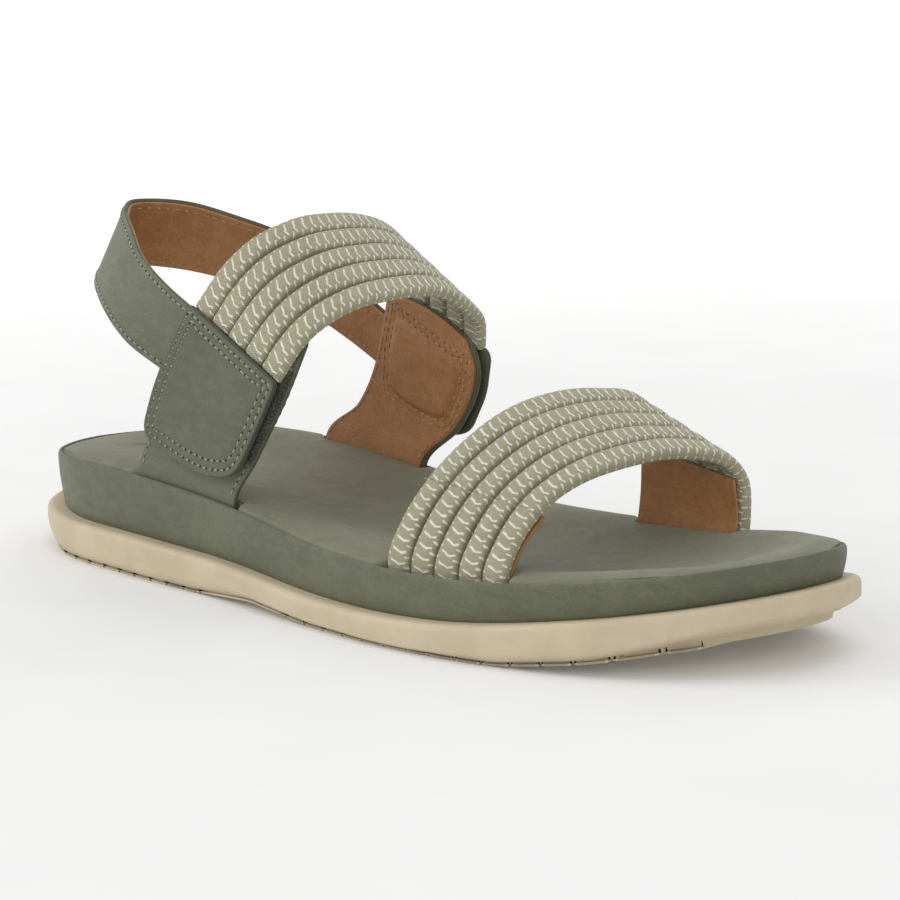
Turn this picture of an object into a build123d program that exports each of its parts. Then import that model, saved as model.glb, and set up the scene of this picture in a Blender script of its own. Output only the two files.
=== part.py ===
from build123d import *
import math
import os

os.makedirs("parts", exist_ok=True)

# Right-foot sandal, millimetres. While it is being modelled the heel is at x = 0, the toe points
# along +X, the inner side of the foot is +Y and the ground is at GROUND_LEVEL. At the end every
# piece is moved so that the origin is on the ground under the middle of the sole.
HEEL_TO_MIDDLE = 131.1
MIDDLE_LINE = -1.0
GROUND_LEVEL = 3.2

# Sole: the seam line seen from above, heel first, then the outer side, the toe and the inner side.
SEAM_LINE = [
    (3, 0), (12, -20), (29, -31), (60, -36), (100, -38.5), (140, -43), (172, -44.5),
    (205, -40.5), (232, -29.5), (250.7, -12.2), (259, 8.3), (254.8, 27.2), (236, 38), (209, 42.5),
    (180, 41.5), (150, 36.5), (115, 33), (81, 35), (50, 34.5), (28, 29.5), (11, 17),
]
FLANGE_WIDTH = 3.4
TREAD_INSET = 0.8
FLANGE_ROUND = 1.6

# Side profiles of the sole: heights at these distances from the heel.
STATIONS = (-12, 0, 30, 70, 110, 150, 190, 225, 262, 276)
SEAM_HEIGHTS = (27, 28, 30, 30.1, 27.3, 23.1, 22.4, 24.8, 30.4, 33)
FLANGE_TOPS = (15.6, 15.2, 14.2, 14, 13, 10.9, 11.8, 16, 22.5, 25.6)
FLANGE_FEET = (13.6, 11.6, 6.6, 5, 6.4, 4, 3.9, 7.4, 14.1, 17.6)
GROUND_STATIONS = (-12, 0, 14, 28, 60, 92, 106, 118, 130, 144, 165, 206, 225, 245, 262, 276)
GROUND_HEIGHTS = (12.4, 8.6, 5.2, 3.2, 3.2, 3.2, 4.2, 5, 4.2, 3.2, 3.2, 3.2, 5.4, 8.8, 12, 15)
GROOVE_WIDTH = 1.8
GROOVE_DEPTH = 1.6
GROOVE_ROWS = ((16, 7.2, 12), (134, 7.6, 15))

# Footbed layers, as depths under the seam line.
WRAP_THICKNESS = 1.2
SOCK_THICKNESS = 1.2
FOAM_DEPTH = 5.7
BOARD_DEPTH = 7.5
DISH_DEPTH = 2.6

# Elastic cords.
CORD_COUNT = 5
CORD_THICKNESS = 3.8
CORD_END_THICKNESS = 2.2
CORD_GAP = 0.35

# Outer surface of the toe strap at its rear and front edges, outer side of the foot first.
TOE_REAR = [
    (169.2, -42.3, 17.4), (169.2, -42.7, 25), (169.6, -38.6, 33.5), (170.2, -29, 43.5), (171.6, -14, 53.2),
    (173, 4, 58.5), (174.6, 24, 58.4), (175.8, 38, 54.2), (176.6, 43.2, 42), (176.8, 42, 29), (176.9, 39.8, 17.4),
]
TOE_FRONT = [
    (205.6, -38.2, 17.9), (205.7, -38.2, 24.5), (206.1, -34.6, 31.5), (206.7, -27, 39.4), (207.8, -15, 45),
    (209.4, 3, 47.8), (211.2, 21, 47.3), (212.4, 34.5, 43.4), (212.9, 40.3, 37.2), (213.1, 41, 27.5),
    (213, 39.6, 18.4),
]
OUTER_LINING_STATIONS = slice(0, 4)
INNER_LINING_STATIONS = slice(8, 11)
LINING_GAP = 0.5
SLOT_WIDTH = 9.0

# Outer surface of the instep strap at its rear and front edges, closure side first.
INSTEP_REAR = [
    (89.4, -34.4, 78.8), (92.6, -30.3, 85.8), (96, -23.4, 93), (98, -12, 97.6), (98.2, 2, 98.5),
    (97.3, 15, 97.1), (94.4, 29.2, 91.7), (90.6, 38.1, 83), (88.6, 39.6, 76),
]
INSTEP_FRONT = [
    (125.3, -38.4, 63), (127.2, -35.9, 67.2), (129.9, -30.2, 73.6), (132, -18, 79.2), (132.2, 1, 81),
    (131, 15, 79.7), (127.2, 29.8, 72.6), (123.6, 37.4, 66.6), (122.4, 38.9, 61.6),
]

# Quarters: outer surface at the rear and front edges, from the sole up.
OUTER_QUARTER_REAR = [
    (65.5, -34.4, 24.9), (65.4, -34.9, 30.1), (71, -33.8, 44.9), (79, -32.4, 60.8), (85, -31.2, 71.7),
    (89.5, -27.2, 80),
]
OUTER_QUARTER_FRONT = [
    (107, -36.8, 23.9), (106.8, -37.3, 27.6), (115.7, -37.2, 40.8), (125.6, -36, 56.8), (127, -33.3, 63.4),
    (125.8, -28, 70.5),
]
INNER_QUARTER_REAR = [
    (63, 33.2, 25), (63.6, 33.4, 30.4), (77, 34.1, 42), (83.4, 34.5, 53.5), (86.2, 34.8, 64), (88.2, 35.1, 72.4),
]
INNER_QUARTER_FRONT = [
    (104.5, 31.4, 24), (104.8, 31.7, 28), (117, 33.2, 39.5), (123.4, 33.5, 50), (123.8, 33.8, 56.5),
    (121, 34.1, 62.4),
]
LEATHER = 1.4
LINING = 1.0
TAPE = 1.0
TAPE_GAP = 0.15

# Heel sling: outer surface at its upper and lower edges, closure side first.
SLING_UPPER = [
    (91, -33.8, 74.6), (78, -32.3, 79.3), (60, -27.3, 85.8), (44, -18.6, 92), (31, -10, 95.4), (23.1, 0, 96.2),
    (31, 10, 95.5), (44, 18.6, 91.6), (60, 28.5, 84), (73, 34, 74.4), (84, 37.2, 66.6), (92, 36.9, 62.4),
]
SLING_LOWER = [
    (91, -36.35, 53.4), (78, -34.9, 58), (60, -33.8, 64.4), (38, -25.3, 72.6), (22.5, -13.8, 76.2), (14.1, 0, 77.3),
    (22.5, 13.8, 75.8), (38, 25.3, 71.6), (60, 34, 63), (70, 36, 58), (80, 36.8, 52.8), (91, 36.3, 48),
]
SLING_LEATHER = 1.1
SLING_LINING = 0.8

# Planes of the quarters' outer faces, for the flat pieces that lie on them.
OUTER_SIDE = Plane(origin=(85, -36.65, 29), x_dir=(0.9978, -0.0656, 0), z_dir=(-0.0652, -0.9908, 0.1189))
INNER_SIDE = Plane(origin=(85, 33.5, 29), x_dir=(0.9998, -0.0205, 0), z_dir=(-0.0205, -0.999, 0.04))
TAB_OUTLINE = [
    (2.7, 48.5), (41.9, 32.1), (35.1, 19.3), (27.5, 6.6), (15.1, 5.2), (-0.1, 8), (-14.2, 12.6), (-9.6, 27.6),
]
TAB_LIFT = 2.6
TAB_THICKNESS = 1.6
HOOK_OUTLINE = [(14, 38), (37.5, 28.5), (31, 16.5), (24.5, 8.5), (14, 8)]
HOOK_LIFT = 1.3
HOOK_THICKNESS = 1.3
PATCH_OUTLINE = [
    (4.4, 45), (38.9, 30.8), (37.2, 19.6), (31.4, 9), (25.4, 7), (15.4, 8.6), (6.4, 12), (-0.6, 16.6), (0.2, 30),
]
PATCH_LIFT = 2.6
PATCH_THICKNESS = 1.4
CORNER_RADIUS = 2.0


def height_at(stations, heights, x):
    """Height of a side profile at a distance from the heel, in straight lines between stations."""
    for left, right, low, high in zip(stations, stations[1:], heights, heights[1:]):
        if left <= x <= right:
            return low + (high - low) * (x - left) / (right - left)
    return heights[-1]


def seam_line(grow):
    """Points of the seam line moved outwards by a distance."""
    count = len(SEAM_LINE)
    points = []
    for index, (x, y) in enumerate(SEAM_LINE):
        before, after = SEAM_LINE[index - 1], SEAM_LINE[(index + 1) % count]
        dx, dy = after[0] - before[0], after[1] - before[1]
        length = math.hypot(dx, dy)
        points.append((x + grow * dy / length, y - grow * dx / length))
    return points


def footprint(grow):
    """Upright block whose outline is the seam line grown by a distance."""
    face = make_face(Spline(*seam_line(grow), periodic=True))
    return Pos(0, 0, -10) * extrude(face, 70)


def side_profile(heights, drop=0.0):
    """Smooth side profile of the sole, lowered by a drop."""
    return Spline(*[(x, z - drop) for x, z in zip(STATIONS, heights)])


def slab(bottom, top):
    """Wide block between two side profiles."""
    ends = [Line(bottom @ 1, top @ 1), Line(bottom @ 0, top @ 0)]
    face = make_face(bottom.edges() + top.edges() + ends)
    return extrude(Plane.XZ * face, 70, both=True)


def sole_layer(grow, low, high, low_drop=0.0, high_drop=0.0):
    """Part of the grown footprint between two of the sole's side profiles."""
    return footprint(grow) & slab(side_profile(low, low_drop), side_profile(high, high_drop))


def vectors(points):
    """List of points as vectors."""
    return [Vector(*point) for point in points]


def sections(first_edge, second_edge):
    """Frames along a strap: edge points, direction across, direction along and outward normal."""
    first, second = vectors(first_edge), vectors(second_edge)
    middles = [(a + b) * 0.5 for a, b in zip(first, second)]
    frames = []
    for index, (a, b) in enumerate(zip(first, second)):
        before, after = middles[max(index - 1, 0)], middles[min(index + 1, len(middles) - 1)]
        across = (b - a).normalized()
        along = after - before
        along = (along - across * along.dot(across)).normalized()
        frames.append((a, b, across, along, across.cross(along).normalized()))
    return frames


def sheet(first_edge, second_edge, lift, thickness, start=0.0, stop=1.0, side=1):
    """Thin leather sheet lofted between two edges; lift is how far its outer face stands out."""
    faces = []
    for a, b, across, along, normal in sections(first_edge, second_edge):
        outward = normal * side
        left, right = a + (b - a) * start, a + (b - a) * stop
        top, foot = outward * lift, outward * (lift - thickness)
        faces.append(make_face(Polyline(left + top, right + top, right + foot, left + foot, close=True)))
    return loft(faces, ruled=True)


def cord(rear_edge, front_edge, number, end_thicknesses, side=1):
    """One flat elastic cord of a strap: an oval section lofted along the strap."""
    faces = []
    frames = sections(rear_edge, front_edge)
    for index, (a, b, across, along, normal) in enumerate(frames):
        outward = normal * side
        thickness = CORD_THICKNESS
        if index == 0:
            thickness = end_thicknesses[0]
        elif index == len(frames) - 1:
            thickness = end_thicknesses[1]
        width = (b - a).length / CORD_COUNT
        middle = a + across * width * (number + 0.5) - outward * (thickness / 2)
        plane = Plane(origin=middle, x_dir=across, z_dir=along)
        faces.append(plane * make_face(Ellipse(width / 2 - CORD_GAP / 2, thickness / 2).edge()))
    return loft(faces)


def panel(plane, outline, lift, thickness, side=1):
    """Flat panel with rounded corners that lies on a quarter's plane."""
    face = fillet(make_face(Polyline(*outline, close=True)).vertices(), CORNER_RADIUS)
    return extrude(plane.offset(side * lift) * face, amount=side * thickness)


def dish_floor():
    """Slab under the dished top of the footbed."""
    rows = []
    for x in range(-10, 281, 29):
        seam = height_at(STATIONS, SEAM_HEIGHTS, min(x, STATIONS[-1]))
        row = []
        for y in range(-60, 61, 10):
            reach = min(abs(y) / 42, 1)
            row.append(Vector(x, y, seam - DISH_DEPTH * (1 + math.cos(math.pi * reach)) / 2))
        rows.append(row)
    surface = Face.make_surface_from_array_of_points(rows)
    return Solid.extrude(surface, Vector(0, 0, -60))


def strap_slot(low_x, high_x, side):
    """Slot inside the wrap where the ends of the toe strap go down beside the footbed."""
    ring = footprint(-WRAP_THICKNESS) - footprint(-WRAP_THICKNESS - SLOT_WIDTH)
    length, middle = high_x - low_x, (high_x + low_x) / 2
    window = Pos(middle, side * 35, 30) * Box(length, 40, 60)
    above_board = slab(side_profile(SEAM_HEIGHTS, FOAM_DEPTH), side_profile(SEAM_HEIGHTS, -20))
    return ring & window & above_board


def outsole():
    """Rubber cup sole: a rounded flange over an inset tread with grooves across it."""
    band = sole_layer(FLANGE_WIDTH, FLANGE_FEET, FLANGE_TOPS)
    rims = band.edges().filter_by(lambda edge: edge.length > 200)
    band = fillet(rims, FLANGE_ROUND)
    ground = Polyline(*zip(GROUND_STATIONS, GROUND_HEIGHTS))
    tread = footprint(-TREAD_INSET) & slab(ground, side_profile(FLANGE_FEET, -1))
    for start, pitch, count in GROOVE_ROWS:
        for number in range(count):
            x = start + number * pitch
            roof = height_at(GROUND_STATIONS, GROUND_HEIGHTS, x) + GROOVE_DEPTH
            tread -= Pos(x, 0, roof - 10) * Box(GROOVE_WIDTH, 120, 20)
    return band + tread


def toe_cords():
    """Five cords of the toe strap."""
    ends = (CORD_THICKNESS, CORD_THICKNESS)
    return [cord(TOE_REAR, TOE_FRONT, number, ends) for number in range(CORD_COUNT)]


def instep_cords():
    """Five cords of the instep strap, thinner where they are sewn in."""
    ends = (CORD_END_THICKNESS, CORD_END_THICKNESS)
    return [cord(INSTEP_REAR, INSTEP_FRONT, number, ends) for number in range(CORD_COUNT)]


pieces = {}
inside = -WRAP_THICKNESS

# Straps, quarters and sling.
for number, solid in enumerate(toe_cords(), 1):
    pieces[f"toe_cord_{number}"] = solid
under_cords = -CORD_THICKNESS - LINING_GAP
for side, span in (("outer", OUTER_LINING_STATIONS), ("inner", INNER_LINING_STATIONS)):
    pieces[f"toe_lining_{side}"] = sheet(TOE_REAR[span], TOE_FRONT[span], under_cords, LINING)
for number, solid in enumerate(instep_cords(), 1):
    pieces[f"instep_cord_{number}"] = solid
outer_edges = (OUTER_QUARTER_REAR, OUTER_QUARTER_FRONT)
inner_edges = (INNER_QUARTER_REAR, INNER_QUARTER_FRONT)
pieces["outer_quarter"] = sheet(*outer_edges, 0, LEATHER)
pieces["outer_quarter_lining"] = sheet(*outer_edges, -LEATHER, LINING)
pieces["inner_quarter"] = sheet(*inner_edges, 0, LEATHER, side=-1)
pieces["inner_quarter_lining"] = sheet(*inner_edges, -LEATHER, LINING, side=-1)
tape_edges = (OUTER_QUARTER_REAR[1:5], OUTER_QUARTER_FRONT[1:5])
pieces["loop_tape"] = sheet(*tape_edges, TAPE + TAPE_GAP, TAPE, 0.62, 0.97)
pieces["inner_patch"] = panel(INNER_SIDE, PATCH_OUTLINE, PATCH_LIFT, PATCH_THICKNESS, side=-1)
pieces["closure_tab"] = panel(OUTER_SIDE, TAB_OUTLINE, TAB_LIFT, TAB_THICKNESS)
pieces["hook_tape"] = panel(OUTER_SIDE, HOOK_OUTLINE, HOOK_LIFT, HOOK_THICKNESS)
pieces["heel_sling"] = sheet(SLING_LOWER, SLING_UPPER, 0, SLING_LEATHER)
pieces["heel_sling_lining"] = sheet(SLING_LOWER, SLING_UPPER, -SLING_LEATHER, SLING_LINING)

# Sole.
pieces["outsole"] = outsole()
pieces["midsole"] = sole_layer(inside, FLANGE_TOPS, SEAM_HEIGHTS, 0, BOARD_DEPTH)
pieces["insole_board"] = sole_layer(inside, SEAM_HEIGHTS, SEAM_HEIGHTS, BOARD_DEPTH, FOAM_DEPTH)
wrap = sole_layer(0, FLANGE_TOPS, SEAM_HEIGHTS) - footprint(inside)
pieces["footbed_wrap"] = wrap
floor = dish_floor()
bed = sole_layer(inside, SEAM_HEIGHTS, SEAM_HEIGHTS, FOAM_DEPTH, -10)
bed -= strap_slot(168.4, 206.4, -1) + strap_slot(176.1, 213.9, 1)
for name in ("outer_quarter", "outer_quarter_lining", "inner_quarter", "inner_quarter_lining"):
    pieces[name] -= wrap
    bed -= pieces[name]
pieces["loop_tape"] &= slab(side_profile(SEAM_HEIGHTS, -0.4), side_profile(SEAM_HEIGHTS, -60))
pieces["footbed_foam"] = bed & Pos(0, 0, -SOCK_THICKNESS) * floor
pieces["sock_cover"] = (bed & floor) - Pos(0, 0, -SOCK_THICKNESS) * floor

to_middle = Pos(-HEEL_TO_MIDDLE, -MIDDLE_LINE, -GROUND_LEVEL)
for name, solid in pieces.items():
    export_step(to_middle * solid, f"parts/{name}.step")
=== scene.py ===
"""A strappy sport sandal: cup sole, wrapped footbed, elastic cord straps, closure tab and heel sling."""
import logging
import math
from dataclasses import dataclass, replace
from enum import Enum
from typing import Any, Optional, Sequence

import bmesh
import bpy
import numpy as np
from mathutils import Matrix, Vector
from mathutils.bvhtree import BVHTree


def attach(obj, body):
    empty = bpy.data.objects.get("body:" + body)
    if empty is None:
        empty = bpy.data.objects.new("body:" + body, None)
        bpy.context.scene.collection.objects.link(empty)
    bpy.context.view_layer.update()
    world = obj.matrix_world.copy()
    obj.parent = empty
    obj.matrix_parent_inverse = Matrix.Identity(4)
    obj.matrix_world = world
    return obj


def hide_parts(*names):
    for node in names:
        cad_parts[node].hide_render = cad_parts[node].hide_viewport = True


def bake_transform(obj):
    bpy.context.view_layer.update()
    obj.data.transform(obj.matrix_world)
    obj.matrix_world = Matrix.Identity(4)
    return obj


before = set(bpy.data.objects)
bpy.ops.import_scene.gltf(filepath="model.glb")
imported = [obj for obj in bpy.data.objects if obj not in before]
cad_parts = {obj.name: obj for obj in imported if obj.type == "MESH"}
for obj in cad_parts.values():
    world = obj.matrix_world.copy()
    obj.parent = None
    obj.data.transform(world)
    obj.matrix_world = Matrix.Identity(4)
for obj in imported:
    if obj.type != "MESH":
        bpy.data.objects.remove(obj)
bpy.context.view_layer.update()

LOG = logging.getLogger("sandal")
MM = 0.001
ORIGIN = (131.1, -1.0, 3.2)
TINY = 1e-9
PRESSED_ROWS = (1.9, 4.2)
LINING_ROWS = (2.9, 4.6)

Point = tuple[float, float, float]
Pair = tuple[float, float]
Colour = tuple[float, float, float]
Ring = tuple[np.ndarray, np.ndarray]
Span = tuple[Any, Any]


class Body(Enum):
    """Bodies of the frame that pieces move with."""

    ROOT = "root"
    INSTEP = "instep_strap"
    TAB = "closure_tab"
    SLING = "heel_sling"


class Slot(Enum):
    """Material slots of the record."""

    RUBBER = "sole_rubber"
    FOAM = "foam"
    SOCK = "sock_leather"
    GREEN = "green_leather"
    BROWN = "brown_leather"
    CORD = "elastic_cord"
    LOOP = "loop_fabric"
    HOOK = "hook_plastic"


# ---------------------------------------------------------------- curves and meshes


def place(points: np.ndarray) -> np.ndarray:
    """Turn points in millimetres from the heel into the frame's metres.

    Args:
        points: Points whose last axis is x from the heel, y and z.

    Returns:
        The same points in metres in the shared frame.
    """
    return (np.asarray(points, float) - ORIGIN) * MM


def unit(vectors: np.ndarray) -> np.ndarray:
    """Scale vectors on the last axis to length one."""
    return vectors / np.maximum(np.linalg.norm(vectors, axis=-1, keepdims=True), TINY)


def through(points: np.ndarray, knots: np.ndarray, at: np.ndarray) -> np.ndarray:
    """Follow a smooth curve through points, going straight on past its ends.

    Args:
        points: Values at the knots.
        knots: Growing parameter of each value.
        at: Parameters to read the curve at.

    Returns:
        The curve's values, one row for each parameter.
    """
    slope = np.gradient(points, knots, axis=0)
    index = np.clip(np.searchsorted(knots, at, side="right") - 1, 0, len(knots) - 2)
    span = knots[index + 1] - knots[index]
    inside = np.clip(at, knots[0], knots[-1])
    x = (inside - knots[index]) / span
    tail = at - inside
    if points.ndim == 2:
        x, span, tail = x[:, None], span[:, None], tail[:, None]
    first, last = points[index], points[index + 1]
    curve = (2 * x**3 - 3 * x**2 + 1) * first + (3 * x**2 - 2 * x**3) * last
    curve += (x**3 - 2 * x**2 + x) * span * slope[index] + (x**3 - x**2) * span * slope[index + 1]
    return curve + tail * slope[index + (x[..., 0] if points.ndim == 2 else x).round().astype(int)]


def eased(value: np.ndarray, low: float, high: float) -> np.ndarray:
    """Smooth step from 0 at low to 1 at high."""
    x = np.clip((np.asarray(value, float) - low) / (high - low), 0, 1)
    return x * x * (3 - 2 * x)


def lengths(points: np.ndarray) -> np.ndarray:
    """Distance run along a polyline at each of its points."""
    steps = np.linalg.norm(np.diff(points, axis=0), axis=1)
    return np.concatenate([[0.0], np.cumsum(steps)])


def evenly(points: np.ndarray, count: int, last: bool = True) -> np.ndarray:
    """Share out points evenly along a flat polyline, with or without its last point.

    Args:
        points: Places along the polyline.
        count: How many points to make.
        last: Whether the last one is the polyline's end.

    Returns:
        The new places.
    """
    run = lengths(points)
    at = np.linspace(0, run[-1], count, endpoint=last)
    return np.stack([np.interp(at, run, points[:, 0]), np.interp(at, run, points[:, 1])], axis=1)


@dataclass
class Frames:
    """Rows along a strap: where each starts, its directions, its width and the distance run."""

    foot: np.ndarray
    across: np.ndarray
    along: np.ndarray
    normal: np.ndarray
    width: np.ndarray
    run: np.ndarray


@dataclass(frozen=True)
class Strip:
    """Band of material between two edge lines given in millimetres from the heel."""

    first: Sequence[Point]
    second: Sequence[Point]
    side: int = 1

    def frames(self, rows: int, start: float = 0.0, stop: float = 0.0) -> Frames:
        """Cut the band into rows.

        Args:
            rows: How many rows.
            start: Millimetres added before the first station.
            stop: Millimetres added after the last station.

        Returns:
            Directions and widths of each row.
        """
        both = np.hstack([np.array(self.first, float), np.array(self.second, float)])
        middle = (both[:, :3] + both[:, 3:]) / 2
        knots = lengths(middle)
        at = np.linspace(-start, knots[-1] + stop, rows)
        rails = through(both, knots, at)
        foot, head = rails[:, :3], rails[:, 3:]
        width = np.linalg.norm(head - foot, axis=1)
        across = (head - foot) / width[:, None]
        along = np.gradient((foot + head) / 2, axis=0)
        along = unit(along - across * (along * across).sum(1, keepdims=True))
        normal = np.cross(across, along) * self.side
        return Frames(foot, across, along, normal, width, at)


@dataclass
class Section:
    """Closed cross-section: each point is a share of the width plus millimetres, and a height."""

    share: np.ndarray
    shift: np.ndarray
    height: np.ndarray


def flat_section(thickness: float, columns: int, low: float = 0.0, high: float = 1.0) -> Section:
    """Section of a flat band with rounded edges, its top face at height zero.

    Args:
        thickness: Band thickness in millimetres.
        columns: Faces across the band.
        low: Share of the width where the band starts.
        high: Share of the width where it ends.

    Returns:
        The section, running over the top, round the far edge and back underneath.
    """
    radius = thickness / 2
    t = np.linspace(0, 1, columns + 1)
    turn = np.linspace(0, math.pi, 7)[1:-1]
    bulge, drop = radius * np.sin(turn), -radius + radius * np.cos(turn)
    over = low + (high - low) * t
    share = [over, np.full(len(turn), high), over[::-1], np.full(len(turn), low)]
    shift = [radius * (1 - 2 * t), -radius + bulge, radius * (2 * t - 1), radius - bulge]
    height = [np.zeros(columns + 1), drop, np.full(columns + 1, -thickness), drop[::-1]]
    return Section(np.concatenate(share), np.concatenate(shift), np.concatenate(height))


def cut_edge(section: Section, thickness: float, rows: int, dark: float) -> np.ndarray:
    """How strongly the cut edge of a swept sheet shows, for each of its points."""
    return np.tile(np.abs(section.height + thickness / 2) < thickness * 0.4, rows) * dark


def narrowed(frames: Frames, trim: float) -> Frames:
    """Stand a band in from both its edges."""
    return replace(frames, foot=frames.foot + frames.across * trim, width=frames.width - 2 * trim)


def cord_section(number: int, count: int, thickness: float, gap: float, points: int = 28,
                 squareness: float = 0.62) -> Section:
    """Flattened oval section of one cord among several side by side.

    Args:
        number: Which cord, from zero.
        count: How many cords share the strap.
        thickness: Cord thickness in millimetres.
        gap: Space between two cords.
        points: Points round the section.
        squareness: Power of the oval, smaller for a flatter top.

    Returns:
        The section, starting at the cord's first edge and going over the top.
    """
    angle = np.linspace(math.pi, -math.pi, points, endpoint=False)
    x = np.sign(np.cos(angle)) * np.abs(np.cos(angle)) ** squareness
    y = np.sign(np.sin(angle)) * np.abs(np.sin(angle)) ** squareness
    share = (number + 0.5) / count + x / (2 * count)
    return Section(share, -x * gap / 2, (y - 1) * thickness / 2)


def sweep(frames: Frames, section: Section, lift: Any = 0.0, taper: float = 0.0,
          spread: Any = 1.0) -> tuple[np.ndarray, list]:
    """Carry a section along a band.

    Args:
        frames: Rows of the band.
        section: Cross-section, the same in every row.
        lift: Height added to the whole section, one number or one for each row.
        taper: Millimetres at both ends over which the thickness rounds off.
        spread: Factor on the section's shifts, one number or one for each row.

    Returns:
        Points in millimetres and faces.
    """
    rows, points = len(frames.run), len(section.share)
    middle = (section.height.max() + section.height.min()) / 2
    left = np.minimum(frames.run - frames.run[0], frames.run[-1] - frames.run)
    grow = np.ones(rows)
    if taper:
        grow = np.sqrt(np.clip(1 - (1 - np.clip((left + 0.02) / taper, 0, 1)) ** 2, 0.02, 1))
    shift = section.shift * np.broadcast_to(np.asarray(spread, float), (rows,))[:, None]
    across = section.share * frames.width[:, None] + shift
    heights = np.broadcast_to(np.asarray(lift, float), (rows,))[:, None]
    heights = heights + middle + (section.height - middle) * grow[:, None]
    grid = frames.foot[:, None] + frames.across[:, None] * across[..., None]
    grid = grid + frames.normal[:, None] * heights[..., None]
    faces = loops(rows, points)
    faces.append(tuple(range(points)))
    faces.append(tuple(range((rows - 1) * points, rows * points))[::-1])
    return grid.reshape(-1, 3), faces


def loops(rows: int, points: int, closed: bool = False) -> list:
    """Faces between closed loops of points laid out row after row.

    Args:
        rows: How many loops.
        points: Points in each loop.
        closed: Whether the last loop joins the first.

    Returns:
        Point numbers of each face.
    """
    faces = []
    for row in range(rows if closed else rows - 1):
        here, there = row * points, (row + 1) % rows * points
        for index in range(points):
            after = (index + 1) % points
            faces.append((here + index, here + after, there + after, there + index))
    return faces


def link(name: str, data: Any) -> Any:
    """Put a new object with this data into the scene.

    Args:
        name: Name of the object.
        data: Its mesh, light or camera.

    Returns:
        The object.
    """
    made = bpy.data.objects.new(name, data)
    bpy.context.scene.collection.objects.link(made)
    return made


def make_mesh(name: str, points: np.ndarray, faces: list, material: Any, uv: Optional[np.ndarray] = None,
              rim: Optional[np.ndarray] = None, weld: float = 0.0) -> Any:
    """Make a closed smooth object with outward faces.

    Args:
        name: Piece name.
        points: Points in millimetres from the heel.
        faces: Point numbers of each face.
        material: Finish of the piece.
        uv: Optional pattern coordinates, one pair for each point.
        rim: Optional closeness to a cut edge, 0 to 1 for each point.
        weld: Points closer than this many millimetres become one.

    Returns:
        The new object, linked into the scene.
    """
    mesh = bpy.data.meshes.new(name)
    mesh.from_pydata(place(points).tolist(), [], faces)
    if uv is not None:
        layer = mesh.uv_layers.new(name="pattern")
        corners = np.zeros(len(mesh.loops), dtype=np.int32)
        mesh.loops.foreach_get("vertex_index", corners)
        layer.data.foreach_set("uv", uv[corners].astype(np.float32).ravel())
    if rim is not None:
        layer = mesh.attributes.new("rim", "FLOAT", "POINT")
        layer.data.foreach_set("value", np.asarray(rim, np.float32))
    work = bmesh.new()
    work.from_mesh(mesh)
    if weld:
        bmesh.ops.remove_doubles(work, verts=work.verts, dist=weld * MM)
        bmesh.ops.dissolve_degenerate(work, edges=work.edges, dist=weld * MM / 2)
    bmesh.ops.recalc_face_normals(work, faces=work.faces)
    for face in work.faces:
        face.smooth = True
    work.to_mesh(mesh)
    work.free()
    mesh.materials.append(material)
    LOG.info("%s: %d faces", name, len(mesh.polygons))
    return link(name, mesh)


def stand_for(nodes: Sequence[str]) -> None:
    """Hide the frame's nodes that a piece stands for.

    Args:
        nodes: Nodes that it hides.
    """
    if nodes:
        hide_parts(*nodes)


def settle(piece: Any, slot: Slot, body: Body, *nodes: str) -> Any:
    """Hide the nodes that a piece stands for and attach it to the one body that it rides on.

    Args:
        piece: Finished piece.
        slot: Material slot of the record; not used.
        body: Body that it moves with.
        nodes: Nodes that it stands for.

    Returns:
        The piece.
    """
    stand_for(nodes)
    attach(piece, body.value)
    return piece


def bend_between(piece: Any, slot: Slot, bodies: tuple[Body, Body], span: Span, *nodes: str) -> Any:
    """Hide the nodes that a piece stands for and bake its placement into its mesh.

    Args:
        piece: Finished piece.
        slot: Material slot of the record; not used.
        bodies: The two bodies; not used.
        span: Where the turn starts and ends, in millimetres; not used.
        nodes: Nodes that it stands for.

    Returns:
        The piece.
    """
    stand_for(nodes)
    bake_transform(piece)
    return piece


# ---------------------------------------------------------------- finishes


def feed(tree: Any, socket: Any, value: Any) -> None:
    """Link an output to a socket, or set the socket's own value.

    Args:
        tree: Node tree.
        socket: Input to fill.
        value: Output or plain value.
    """
    if isinstance(value, bpy.types.NodeSocket):
        tree.links.new(value, socket)
    else:
        socket.default_value = value


def add_node(tree: Any, kind: str, inputs: Optional[dict] = None, **settings: Any) -> Any:
    """Add a node to a tree, set its properties and fill or link its inputs.

    Args:
        tree: Node tree.
        kind: Type of the node.
        inputs: Outputs or values by socket.
        settings: Properties of the node.

    Returns:
        The node.
    """
    node = tree.nodes.new(kind)
    for key, value in settings.items():
        setattr(node, key, value)
    for key, value in (inputs or {}).items():
        feed(tree, node.inputs[key], value)
    return node


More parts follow.
